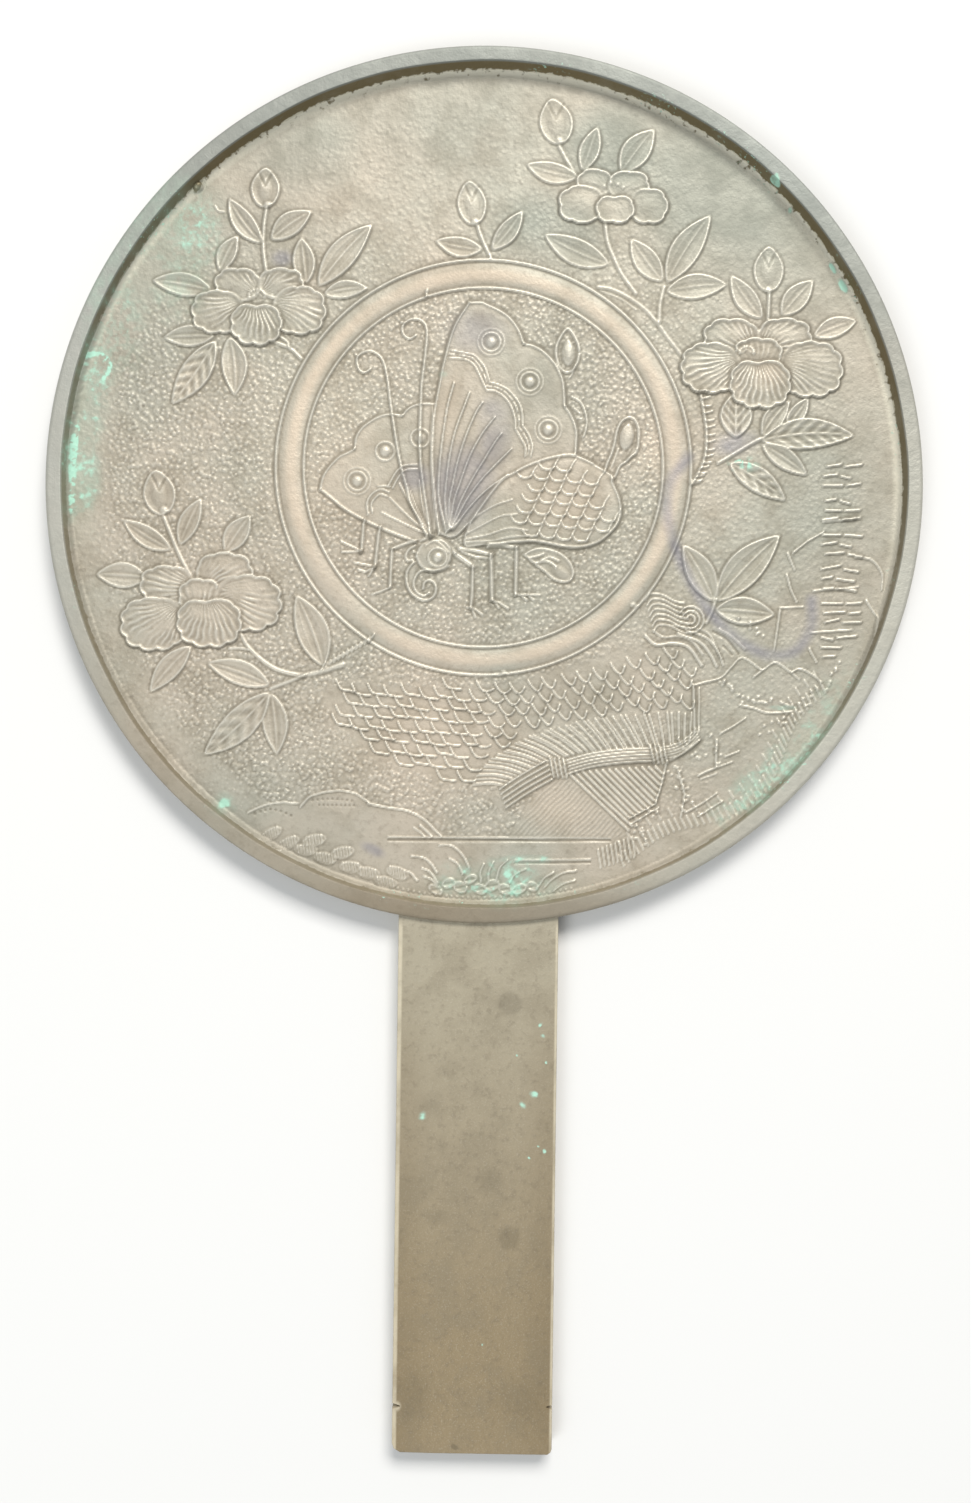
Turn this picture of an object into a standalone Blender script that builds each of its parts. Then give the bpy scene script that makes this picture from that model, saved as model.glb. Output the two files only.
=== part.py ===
"""Cast bronze hand mirror with a long flat handle, lying on its polished face.

The origin is the centre of the round disc, on the polished underside. +Y runs away from the
handle, +X to the right, and +Z up out of the decorated back. The whole mirror is one casting:
a round plate with a raised rim, a flat handle, and low carving that stands on the sunk field.
"""

from math import asin, cos, pi, radians, sin

import bmesh
import bpy
from mathutils import Vector

MM = 0.001

# Plate, rim and handle
DISC_RADIUS = 80.0 * MM
RIM_WIDTH = 3.0 * MM
RIM_HEIGHT = 5.0 * MM
RIM_WALL_LEAN = 0.4 * MM
PLATE_THICKNESS = 2.0 * MM
EDGE_ROUND = 0.35 * MM
HANDLE_LENGTH = 97.0 * MM
HANDLE_WIDTH = 29.2 * MM
HANDLE_THICKNESS = 4.0 * MM
HANDLE_CORNER = 1.2 * MM
NOTCH_FROM_END = 8.6 * MM
NOTCH_DEPTH = 1.2 * MM
NOTCH_WIDTH = 0.8 * MM

# Heights of the carving above the field
RING_HEIGHT = 0.60 * MM
BEAD_HEIGHT = 0.48 * MM
LEAF_MARGIN_HEIGHT = 0.62 * MM
LEAF_MIDRIB_HEIGHT = 0.34 * MM
PETAL_HEIGHT = 0.60 * MM
PETAL_STEP = 0.14 * MM
PETAL_SINK = 0.30 * MM
BUD_HEIGHT = 0.70 * MM
STEM_HEIGHT = 0.45 * MM
WING_HEIGHT = 0.58 * MM
WING_SINK = 0.38 * MM
VEIN_HEIGHT = 0.56 * MM
BODY_HEIGHT = 0.74 * MM
SCALE_HEIGHT = 0.46 * MM
BUNDLE_HEIGHT = 0.62 * MM
LINE_HEIGHT = 0.36 * MM
STROKE_HEIGHT = 0.34 * MM

# Plan sizes that repeat over the carving
RING_RADIUS = 35.9 * MM
RING_BAND = 3.4 * MM
BEAD_WIDTH = 1.1 * MM
STEM_WIDTH = 1.1 * MM
LINE_WIDTH = 0.9 * MM
FINE_LINE_WIDTH = 0.6 * MM
SCALE_WIDTH = 3.9 * MM
SCALE_LENGTH = 3.2 * MM
SCALE_PITCH = 4.6 * MM
SCALE_ROW = 2.75 * MM

# Facets
DISC_STEPS = 64
RING_STEPS = 36
EYE_STEPS = 8
LEAF_STEPS = 4
PETAL_LOBES = 5

FIELD_RADIUS = DISC_RADIUS - RIM_WIDTH - RIM_WALL_LEAN
# The carving's places are drawn in millimetres for a field of this radius, and follow the field
DRAWN_FIELD_RADIUS = 76.6
PLAN = FIELD_RADIUS / DRAWN_FIELD_RADIUS
ROOT_DEPTH = PLATE_THICKNESS / 4
ROOT_STAGGER = ROOT_DEPTH / 400
RING_CENTRE = (-0.2, 3.6)
# The fan of ribs runs between these two drawn lines, and the scales end above its outer one
FAN_OUTER = [(0.0, -54.0), (5.0, -48.4), (12.0, -45.2), (20.0, -43.2), (29.0, -41.9), (38.4, -41.6)]
FAN_INNER = [(4.8, -53.7), (10.0, -50.2), (16.0, -48.4), (23.0, -47.3), (30.5, -46.8), (38.0, -46.2)]


def clear_scene():
    for old in list(bpy.data.objects):
        bpy.data.objects.remove(old, do_unlink=True)


def collection(name):
    made = bpy.data.collections.new(name)
    bpy.context.scene.collection.children.link(made)
    return made


def bronze():
    made = bpy.data.materials.new("bronze")
    made.use_nodes = True
    shader = made.node_tree.nodes["Principled BSDF"]
    shader.inputs["Base Color"].default_value = (0.24, 0.20, 0.13, 1.0)
    shader.inputs["Metallic"].default_value = 0.85
    shader.inputs["Roughness"].default_value = 0.48
    return made


def place(x, y):
    """A drawn place on the field, in metres."""
    return Vector((x * PLAN, y * PLAN, PLATE_THICKNESS))


def hand_over(bm, name, group):
    """Turns a finished bmesh into one object of a collection."""
    bmesh.ops.remove_doubles(bm, verts=bm.verts[:], dist=1e-6)
    bmesh.ops.recalc_face_normals(bm, faces=bm.faces[:])
    mesh = bpy.data.meshes.new(name)
    bm.to_mesh(mesh)
    bm.free()
    made = bpy.data.objects.new(name, mesh)
    group.objects.link(made)
    return made


def carve(bm, name, group):
    """Hands over a carved piece, which only shows through the mirror that it is joined to."""
    made = hand_over(bm, name, group)
    made.hide_render = True
    made.display_type = "WIRE"
    return made


def root_level(group):
    """Each piece of a group is rooted a hair deeper than the last, so no undersides coincide."""
    return PLATE_THICKNESS - ROOT_DEPTH - ROOT_STAGGER * len(group.objects)


def close_below(bm, level):
    """Gives an open carved surface its side walls and a flat underside inside the plate."""
    bmesh.ops.remove_doubles(bm, verts=bm.verts[:], dist=1e-6)
    grown = bmesh.ops.extrude_face_region(bm, geom=bm.faces[:], use_keep_orig=True)
    for element in grown["geom"]:
        if isinstance(element, bmesh.types.BMVert):
            element.co.z = level


def strip(points, width, heights, group, name, swell=None):
    """A raised strip along drawn points.

    heights are those of its sides and of its middle line, and swell gives the share of the
    width that it has at a share of its length.
    """
    spots = [place(x, y) for x, y in points]
    rows = len(spots)
    bm = bmesh.new()
    bmesh.ops.create_grid(bm, x_segments=rows - 1, y_segments=2, size=1.0)
    order = sorted(bm.verts, key=lambda v: (round(v.co.x, 4), round(v.co.y, 4)))
    for row, spot in enumerate(spots):
        ahead = spots[min(row + 1, rows - 1)] - spots[max(row - 1, 0)]
        across = Vector((-ahead.y, ahead.x, 0.0)).normalized()
        share = swell(row / (rows - 1)) if swell else 1.0
        for column in range(3):
            side = column - 1
            height = heights[0] if side else heights[1]
            if share < 0.01:
                height = heights[0]
            order[3 * row + column].co = spot + across * side * share * width / 2 + Vector((0, 0, height))
    close_below(bm, root_level(group))
    return carve(bm, name, group)


def ridge(points, width, height, group, name, ground=0.0):
    """A sharp-crested strip, as stems, veins and outlines are, whose feet dip under its ground."""
    return strip(points, width, (ground - 0.1 * height, height), group, name)


def along(start, end, steps, bow=0.0):
    """Drawn points from start to end, bowed sideways by a share of the length."""
    run = Vector((end[0] - start[0], end[1] - start[1]))
    aside = Vector((-run.y, run.x)) * bow
    spots = []
    for step in range(steps + 1):
        t = step / steps
        spot = Vector(start) + run * t + aside * 4 * t * (1 - t)
        spots.append((spot.x, spot.y))
    return spots


def leaf(start, end, half_width, group, name):
    """A pointed leaf with a raised margin and a sunk midrib."""
    def swell(t):
        return sin(pi * t ** 0.85) ** 0.8 if 0.0 < t < 1.0 else 0.0
    heights = (LEAF_MARGIN_HEIGHT, LEAF_MIDRIB_HEIGHT)
    strip(along(start, end, LEAF_STEPS), 2 * half_width * PLAN, heights, group, name, swell)


def petal(centre, half_x, half_y, rank, lobes, group, name):
    """A scalloped petal with a raised margin and a domed middle, each rank above the last."""
    top = PETAL_HEIGHT + PETAL_STEP * rank
    bm = bmesh.new()
    bmesh.ops.create_circle(bm, cap_ends=True, segments=2 * lobes, radius=1.0)
    for index, vert in enumerate(bm.verts):
        reach = PLAN * (1.05 if index % 2 else 0.92)
        vert.co = place(*centre) + Vector((vert.co.x * half_x * reach, vert.co.y * half_y * reach, top))
    face = bm.faces[:]
    bmesh.ops.inset_region(bm, faces=face, thickness=0.17 * min(half_x, half_y) * PLAN,
                           use_boundary=True, use_even_offset=True)
    for vert in face[0].verts:
        vert.co.z -= PETAL_SINK
    middle = bmesh.ops.poke(bm, faces=face)["verts"][0]
    middle.co.z = PLATE_THICKNESS + top
    close_below(bm, root_level(group))
    carve(bm, name, group)


def boss(centre, radius, height, group, name, stretch=1.0, turn=0.0, sides=8):
    """A low round or egg-shaped knob; turn is in degrees from +Y."""
    bm = bmesh.new()
    bmesh.ops.create_cone(bm, cap_ends=True, segments=sides, radius1=1.0, radius2=0.5, depth=2.0)
    level = root_level(group)
    for vert in bm.verts:
        x = vert.co.x * radius * PLAN
        y = vert.co.y * radius * stretch * PLAN
        z = PLATE_THICKNESS + height if vert.co.z > 0 else level
        spot = place(*centre)
        angle = radians(turn)
        vert.co = (spot.x + x * cos(angle) - y * sin(angle), spot.y + x * sin(angle) + y * cos(angle), z)
    carve(bm, name, group)


def bud(centre, half_width, half_height, turn, group, name):
    """A closed bud: an egg with a pointed tip, domed in the middle."""
    bm = bmesh.new()
    bmesh.ops.create_circle(bm, cap_ends=True, segments=10, radius=1.0)
    angle = radians(turn)
    for vert in bm.verts:
        x = vert.co.x * half_width * (1.0 - 0.25 * max(vert.co.y, 0.0)) * PLAN
        y = vert.co.y * half_height * PLAN
        spot = Vector((x * cos(angle) - y * sin(angle), x * sin(angle) + y * cos(angle), 0.4 * BUD_HEIGHT))
        vert.co = place(*centre) + spot
    middle = bmesh.ops.poke(bm, faces=bm.faces[:])["verts"][0]
    middle.co.z = PLATE_THICKNESS + BUD_HEIGHT
    close_below(bm, root_level(group))
    carve(bm, name, group)


def turned(profile, centre, steps, group, name):
    """A ring turned about a drawn centre from (radius, height) pairs in metres, rooted in the plate."""
    level = root_level(group) - PLATE_THICKNESS
    loop = list(profile) + [(profile[-1][0], level), (profile[0][0], level)]
    middle = place(*centre)
    bm = bmesh.new()
    verts = [bm.verts.new(middle + Vector((radius, 0.0, height))) for radius, height in loop]
    edges = [bm.edges.new((verts[i - 1], verts[i])) for i in range(len(verts))]
    bmesh.ops.spin(bm, geom=verts + edges, cent=middle, axis=(0, 0, 1), angle=2 * pi, steps=steps,
                   use_merge=True)
    carve(bm, name, group)


def plaque(points, height, margin, sink, group, name):
    """A flat raised shape with a border that stands above its sunk middle."""
    bm = bmesh.new()
    lift = Vector((0, 0, height))
    face = bm.faces.new([bm.verts.new(place(x, y) + lift) for x, y in points])
    bmesh.ops.inset_region(bm, faces=[face], thickness=margin * PLAN, use_boundary=True,
                           use_even_offset=True)
    for vert in face.verts:
        vert.co.z -= sink
    close_below(bm, root_level(group))
    carve(bm, name, group)


def make_disc(group, material):
    """The round plate with its rim, drawn up ring by ring from the underside."""
    rim_inside = DISC_RADIUS - RIM_WIDTH
    fillet = 0.8 * EDGE_ROUND
    rings = [
        (DISC_RADIUS, EDGE_ROUND),
        (DISC_RADIUS, RIM_HEIGHT - EDGE_ROUND),
        (DISC_RADIUS - EDGE_ROUND, RIM_HEIGHT),
        (rim_inside + fillet, RIM_HEIGHT),
        (rim_inside, RIM_HEIGHT - fillet),
        (FIELD_RADIUS, PLATE_THICKNESS + fillet),
        (FIELD_RADIUS - fillet, PLATE_THICKNESS),
    ]
    bm = bmesh.new()
    reach = DISC_RADIUS - EDGE_ROUND
    bmesh.ops.create_circle(bm, cap_ends=True, segments=DISC_STEPS, radius=reach)
    cap = bm.faces[:][0]
    for index, (radius, height) in enumerate(rings):
        grown = bmesh.ops.extrude_face_region(bm, geom=[cap], use_keep_orig=True)
        if index:
            bmesh.ops.delete(bm, geom=[cap], context="FACES_ONLY")
        cap = next(element for element in grown["geom"] if isinstance(element, bmesh.types.BMFace))
        for vert in cap.verts:
            vert.co.x *= radius / reach
            vert.co.y *= radius / reach
            vert.co.z = height
        reach = radius
    made = hand_over(bm, "bronze_mirror", group)
    made.data.materials.append(material)
    return made


def handle_outline():
    """The handle's outline in metres: an arc inside the rim, two long sides and a rounded end."""
    half = HANDLE_WIDTH / 2
    end = -(DISC_RADIUS + HANDLE_LENGTH)
    root = DISC_RADIUS - RIM_WIDTH / 2
    spread = asin(half / root)
    right = [(half, end + NOTCH_FROM_END + NOTCH_WIDTH / 2),
             (half - NOTCH_DEPTH, end + NOTCH_FROM_END),
             (half, end + NOTCH_FROM_END - NOTCH_WIDTH / 2)]
    for step in range(4):
        turn = step * pi / 6
        right.append((half - HANDLE_CORNER * (1 - cos(turn)), end + HANDLE_CORNER * (1 - sin(turn))))
    left = [(-x, y) for x, y in reversed(right)]
    arc = []
    for step in range(9):
        angle = -pi / 2 - spread + 2 * spread * step / 8
        arc.append((root * cos(angle), root * sin(angle)))
    return arc + right + left


def make_handle(group):
    """The handle, with its long edges softened."""
    bm = bmesh.new()
    face = bm.faces.new([bm.verts.new((x, y, 0.0)) for x, y in handle_outline()])
    grown = bmesh.ops.extrude_face_region(bm, geom=[face], use_keep_orig=True)
    for element in grown["geom"]:
        if isinstance(element, bmesh.types.BMVert):
            element.co.z = HANDLE_THICKNESS
    level_edges = [edge for edge in bm.edges if abs(edge.verts[0].co.z - edge.verts[1].co.z) < 1e-9]
    bmesh.ops.bevel(bm, geom=level_edges, offset=0.7 * EDGE_ROUND, affect="EDGES", segments=1,
                    profile=0.5, material=-1, clamp_overlap=True)
    carve(bm, "handle", group)


def make_ring(group):
    """The large ring round the butterfly: a rounded band between two beads."""
    bead = BEAD_WIDTH / 2
    beads = RING_BAND / 2 + BEAD_WIDTH * 0.72
    profile = [
        (RING_RADIUS + beads + bead, 0.0),
        (RING_RADIUS + beads, BEAD_HEIGHT),
        (RING_RADIUS + RING_BAND / 2, 0.25 * BEAD_HEIGHT),
        (RING_RADIUS, RING_HEIGHT),
        (RING_RADIUS - RING_BAND / 2, 0.25 * BEAD_HEIGHT),
        (RING_RADIUS - beads, BEAD_HEIGHT),
        (RING_RADIUS - beads - bead, 0.0),
    ]
    turned(profile, RING_CENTRE, RING_STEPS, group, "ring")


def eye(centre, radius, group, name):
    """A wing spot: a small knob inside a raised ring."""
    boss(centre, 0.42 * radius, 1.15 * VEIN_HEIGHT, group, name + "_knob", sides=6)
    half = 0.2 * radius * PLAN
    ring = radius * PLAN
    profile = [(ring + half, WING_HEIGHT * 0.5), (ring, VEIN_HEIGHT), (ring - half, WING_HEIGHT * 0.5)]
    turned(profile, centre, EYE_STEPS, group, name + "_ring")


def make_wings(group):
    """The two wings, each a plaque with its raised border, its veins and its spots."""
    great = [(-8.3, -8.8), (-9.4, 0.0), (-9.5, 13.0), (-7.75, 23.0), (-6.0, 29.25), (-3.25, 33.9),
             (0.0, 33.6), (4.25, 31.25), (7.0, 26.5), (11.0, 24.75), (14.25, 19.75), (14.6, 15.0),
             (16.9, 10.0), (16.4, 5.5), (8.75, 3.4), (2.5, 0.0), (-4.5, -8.5)]
    plaque(great, WING_HEIGHT, 0.8, WING_SINK, group, "great_wing")
    small = [(-10.4, 15.3), (-13.0, 15.0), (-15.4, 13.0), (-19.5, 12.75), (-23.75, 8.75), (-24.2, 6.5),
             (-28.25, 3.75), (-30.25, -0.9), (-25.5, -4.6), (-19.0, -7.9), (-10.5, -10.6),
             (-8.6, -8.6), (-9.6, 0.0)]
    plaque(small, WING_HEIGHT, 0.8, WING_SINK, group, "small_wing")
    base = (-6.3, -8.0)
    tips = [(-5.8, 19.0), (-2.9, 17.2), (-0.5, 15.4), (1.8, 12.8), (3.2, 9.8), (5.0, 7.0), (4.6, 1.9)]
    for index, tip in enumerate(tips):
        ridge(along(base, tip, 2, 0.05), FINE_LINE_WIDTH, VEIN_HEIGHT, group,
              f"great_vein_{index + 1}", WING_HEIGHT - WING_SINK)
    border = [(-6.8, 24.3), (-2.6, 23.3), (0.5, 19.2), (4.0, 17.0), (6.2, 12.0), (8.1, 6.0)]
    ridge(border, LINE_WIDTH, VEIN_HEIGHT, group, "great_wing_band", WING_HEIGHT - WING_SINK)
    for index, tip in enumerate([(-18.6, -4.6), (-17.2, -1.2), (-15.0, 1.4)]):
        ridge(along((-10.6, -8.6), tip, 1), FINE_LINE_WIDTH, VEIN_HEIGHT, group,
              f"small_vein_{index + 1}", WING_HEIGHT - WING_SINK)
    ridge([(-12.6, 3.9), (-15.4, 3.0), (-17.5, -0.4), (-19.6, -1.0), (-21.1, -4.6)], LINE_WIDTH,
          VEIN_HEIGHT, group, "small_wing_band", WING_HEIGHT - WING_SINK)
    spots = [(0.9, 26.6), (8.1, 19.4), (11.6, 10.6), (-23.4, 0.75), (-18.3, 6.3)]
    for index, spot in enumerate(spots):
        eye(spot, 2.1, group, f"wing_spot_{index + 1}")


def make_butterfly_body(group):
    """Head, trunk, feelers, legs and the scaly abdomen with its tail loop."""
    abdomen = [(-5.5, -8.5), (0.5, -1.6), (5.5, 2.75), (12.0, 5.5), (17.5, 5.8), (22.5, 2.9),
               (24.7, -1.0), (25.2, -4.6), (23.5, -8.0), (19.0, -10.75), (11.5, -10.3), (-3.5, -10.9)]
    plaque(abdomen, 1.1 * WING_HEIGHT, 0.7, WING_SINK, group, "abdomen")
    for row in range(3):
        for column in range(4):
            x = 7.6 + 4.3 * column + 1.6 * row
            y = 2.4 - 3.7 * row - 0.25 * column
            if x < 22.8:
                hook = [(x - 1.6, y + 0.6), (x - 0.2, y - 1.1), (x + 1.7, y - 0.4)]
                ridge(hook, LINE_WIDTH, 1.1 * VEIN_HEIGHT, group, f"abdomen_scale_{row + 1}_{column + 1}",
                      1.1 * WING_HEIGHT - WING_SINK)
    boss((-9.4, -12.4), 2.6, BODY_HEIGHT * 0.8, group, "head", 1.1, 0.0, 12)
    boss((-8.4, -13.1), 1.0, BODY_HEIGHT * 1.1, group, "head_eye")
    trunk = [(-12.4, -14.4), (-13.4, -17.2), (-12.3, -19.9), (-10.2, -20.4), (-8.9, -18.9),
             (-9.9, -17.6)]
    ridge(trunk, 1.4 * LINE_WIDTH, BODY_HEIGHT, group, "trunk")
    ridge([(-10.5, -10.0), (-12.8, -4.5), (-14.9, 1.5), (-16.5, 9.0), (-17.7, 17.5), (-19.0, 23.0),
           (-21.3, 24.8), (-23.4, 23.3), (-22.0, 21.0)], LINE_WIDTH, BODY_HEIGHT, group, "feeler_1")
    ridge([(-9.8, -9.8), (-11.2, 0.5), (-11.9, 10.0), (-11.6, 20.0), (-10.9, 27.5), (-12.6, 30.6),
           (-15.0, 29.4), (-14.0, 27.2)], LINE_WIDTH, BODY_HEIGHT, group, "feeler_2")
    legs = [
        [(-19.6, -7.0), (-22.1, -7.2), (-22.4, -12.0), (-26.0, -11.6)],
        [(-16.0, -8.6), (-19.2, -8.8), (-19.9, -14.8), (-23.3, -15.0)],
        [(-13.4, -10.4), (-16.8, -11.6), (-17.1, -18.7), (-20.3, -20.0)],
        [(-5.4, -11.0), (-1.8, -14.6), (-2.0, -22.0), (-0.2, -23.8)],
        [(-4.5, -11.0), (1.5, -12.2), (1.7, -21.0), (4.4, -22.3)],
        [(0.8, -10.6), (6.0, -11.2), (6.0, -19.7), (9.8, -20.4)],
    ]
    for index, points in enumerate(legs):
        ridge(points, LINE_WIDTH, STEM_HEIGHT, group, f"leg_{index + 1}")
    tail = [(21.8, 2.6), (23.6, 7.4), (24.6, 11.6), (26.5, 13.0), (28.2, 10.6), (27.7, 7.0),
            (24.9, 4.4), (23.6, 1.2)]
    ridge(tail, LINE_WIDTH, STEM_HEIGHT, group, "tail_loop")
    boss((26.2, 9.4), 1.1, STEM_HEIGHT, group, "tail_drop", 1.9, -12.0, 6)


def make_ring_filling(group):
    """The loose bud, crescent and leaf beside the butterfly."""
    bud((15.0, 25.3), 2.2, 4.2, 0.0, group, "loose_bud")
    ridge([(15.6, 16.9), (17.6, 15.8), (18.6, 12.8), (18.2, 9.6)], LINE_WIDTH, STEM_HEIGHT, group,
          "crescent")
    leaf((7.0, -12.2), (17.0, -16.6), 2.5, group, "loose_leaf")


def flower(name, petals, lobes, group):
    """A peony of overlapping petals, back ones first; each is a centre, two half sizes and a rank."""
    for index, (x, y, half_x, half_y, rank) in enumerate(petals):
        petal((x, y), half_x, half_y, rank, lobes, group, f"{name}_petal_{index + 1}")


def leaves(name, rows, group):
    for index, (x1, y1, x2, y2, half_width) in enumerate(rows):
        leaf((x1, y1), (x2, y2), half_width, group, f"{name}_leaf_{index + 1}")


def stems(name, rows, group):
    for index, points in enumerate(rows):
        ridge(points, STEM_WIDTH, STEM_HEIGHT, group, f"{name}_stem_{index + 1}")


def make_upper_left_spray(group):
    name = "upper_left"
    stems(name, [[(-40.7, 51.0), (-41.2, 45.0), (-40.5, 38.5)],
                 [(-39.0, 27.0), (-35.8, 25.2), (-33.6, 22.4)]], group)
    leaves(name, [(-41.5, 44.3, -47.8, 52.6, 2.0), (-39.8, 45.0, -32.3, 50.4, 2.2),
                  (-49.0, 38.6, -46.0, 46.0, 1.8), (-50.6, 35.6, -61.7, 37.3, 2.2),
                  (-33.4, 36.8, -34.4, 45.6, 2.1), (-31.2, 36.6, -21.2, 48.2, 2.5),
                  (-30.2, 34.8, -21.6, 36.4, 1.6), (-49.8, 27.4, -59.5, 26.6, 2.0),
                  (-49.6, 26.8, -57.8, 14.4, 2.7), (-47.2, 27.2, -46.1, 16.2, 2.4)], group)
    flower(name, [(-46.2, 37.4, 4.0, 2.6, 0), (-37.7, 37.8, 4.2, 2.4, 0), (-50.3, 31.6, 4.1, 3.9, 1),
                  (-33.9, 32.3, 4.3, 4.0, 1), (-42.3, 29.5, 4.8, 4.0, 2)], PETAL_LOBES, group)
    bud((-41.0, 54.5), 2.6, 3.7, 0.0, group, name + "_bud")


def make_top_spray(group):
    name = "top"
    stems(name, [[(-2.0, 48.0), (-0.6, 44.5), (0.5, 41.4)]], group)
    leaves(name, [(-0.8, 43.6, -9.7, 45.2, 1.9), (0.8, 43.6, 6.5, 51.0, 1.7)], group)
    bud((-3.0, 52.2), 2.6, 4.1, 8.0, group, name + "_bud")


def make_upper_right_spray(group):
    name = "upper_right"
    stems(name, [[(13.0, 63.0), (14.8, 59.6), (17.0, 56.4)],
                 [(21.4, 49.5), (22.2, 45.0), (24.8, 39.5), (27.4, 35.6)],
                 [(20.0, 37.3), (26.0, 35.3), (31.5, 30.5), (36.6, 24.2)],
                 [(31.6, 30.4), (32.0, 34.2), (32.7, 37.6)]], group)
    leaves(name, [(16.4, 57.2, 6.8, 59.6, 2.0), (17.3, 58.3, 20.1, 66.7, 1.9),
                  (24.4, 58.2, 30.5, 66.4, 2.6), (22.4, 41.0, 10.3, 46.7, 2.5),
                  (32.3, 38.0, 26.3, 46.2, 2.3), (33.1, 38.0, 41.1, 50.7, 2.7),
                  (33.0, 36.4, 44.4, 37.8, 2.4)], group)
    flower(name, [(19.3, 57.0, 3.0, 2.0, 0), (26.0, 56.3, 3.6, 2.3, 0), (17.1, 52.4, 4.0, 3.5, 1),
                  (29.7, 52.1, 3.4, 3.4, 1), (23.4, 51.4, 3.5, 2.7, 2)], PETAL_LOBES - 1, group)
    bud((12.3, 67.5), 3.0, 4.4, 12.0, group, name + "_bud")


def make_right_spray(group):
    name = "right"
    stems(name, [[(52.15, 36.9), (51.6, 31.0)],
                 [(43.2, 5.2), (46.0, 6.9), (52.4, 9.9)]], group)
    leaves(name, [(50.6, 31.4, 44.8, 39.6, 2.1), (54.4, 32.0, 60.1, 39.0, 2.2),
                  (60.2, 28.2, 68.3, 31.5, 1.9), (46.3, 9.6, 46.0, 18.2, 3.0),
                  (51.2, 10.2, 56.2, 17.0, 2.0), (51.2, 9.6, 68.2, 10.3, 2.9),
                  (51.0, 8.6, 59.6, 2.9, 1.9), (45.0, 5.2, 55.6, -1.8, 2.3)], group)
    flower(name, [(44.8, 28.7, 5.1, 3.0, 0), (55.2, 29.1, 4.8, 2.8, 0), (40.8, 22.4, 4.9, 4.6, 1),
                  (60.3, 22.4, 5.2, 5.0, 1), (50.5, 19.8, 5.6, 4.6, 2)], PETAL_LOBES, group)
    bud((51.8, 40.7), 2.7, 4.2, 0.0, group, name + "_bud")
    for index in range(7):
        y = 17.0 - 1.2 * index
        ridge([(39.9 + 0.07 * index, y), (42.0, y + 0.2)], FINE_LINE_WIDTH, 0.7 * STEM_HEIGHT, group,
              f"moss_rung_{index + 1}")
    stems("moss", [[(39.2, 18.2), (40.2, 12.0), (40.2, 6.0), (38.6, 1.0)]], group)


def make_sprig(group):
    """Three broad leaves on one short stalk, below the right flower."""
    leaves("sprig", [(42.6, -20.6, 36.6, -10.0, 2.6), (43.0, -20.6, 54.8, -8.0, 3.1),
                     (42.8, -22.0, 54.2, -22.7, 2.6)], group)
    stems("sprig", [[(42.8, -20.4), (41.4, -24.0)]], group)


def make_lower_left_spray(group):
    name = "lower_left"
    stems(name, [[(-59.0, -6.0), (-57.0, -11.0), (-54.0, -16.8)],
                 [(-45.4, -26.6), (-42.0, -31.2), (-37.0, -34.4), (-31.0, -34.8), (-25.6, -32.6)],
                 [(-32.4, -34.9), (-38.8, -37.8)],
                 [(-25.6, -32.6), (-21.4, -29.4)]], group)
    leaves(name, [(-57.3, -12.4, -66.5, -6.8, 1.9), (-56.0, -11.4, -52.0, -2.7, 1.9),
                  (-47.6, -12.8, -43.0, -5.7, 2.2), (-61.8, -17.6, -71.3, -17.0, 2.4),
                  (-54.4, -29.6, -61.1, -38.8, 2.2), (-29.3, -33.6, -34.3, -20.3, 3.0),
                  (-39.2, -37.3, -50.8, -33.0, 2.4), (-39.4, -38.4, -51.0, -50.0, 2.9),
                  (-38.6, -38.4, -37.6, -49.8, 2.4)], group)
    flower(name, [(-58.7, -18.4, 4.3, 3.2, 0), (-47.3, -15.9, 4.8, 3.2, 0), (-52.0, -19.9, 3.5, 2.5, 1),
                  (-60.9, -26.0, 5.4, 4.7, 1), (-42.7, -22.0, 5.3, 5.2, 1),
                  (-50.3, -25.6, 5.7, 4.4, 2)], PETAL_LOBES, group)
    bud((-59.8, -1.8), 2.6, 4.3, 12.0, group, name + "_bud")


def scale(x, y, turn, group, name):
    """One overlapping scale: a small shield, sunk at its top and proud at its tip."""
    half = SCALE_WIDTH / 2
    shield = [(-half, 0.36, -0.1), (half, 0.36, -0.1), (half, -0.10, 0.7), (0.0, -0.55, 1.0),
              (-half, -0.10, 0.7)]
    bm = bmesh.new()
    spot = place(x, y)
    angle = radians(turn)
    verts = []
    for across, down, rise in shield:
        down *= SCALE_LENGTH
        verts.append(bm.verts.new((
            spot.x + across * cos(angle) - down * sin(angle),
            spot.y + across * sin(angle) + down * cos(angle),
            spot.z + rise * SCALE_HEIGHT,
        )))
    bm.faces.new(verts)
    close_below(bm, root_level(group))
    carve(bm, name, group)


def along_line(points, x):
    """The height of a drawn line of points at x."""
    for (x1, y1), (x2, y2) in zip(points, points[1:]):
        if x <= x2:
            return y1 + (y2 - y1) * (x - x1) / (x2 - x1)
    return points[-1][1]


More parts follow.
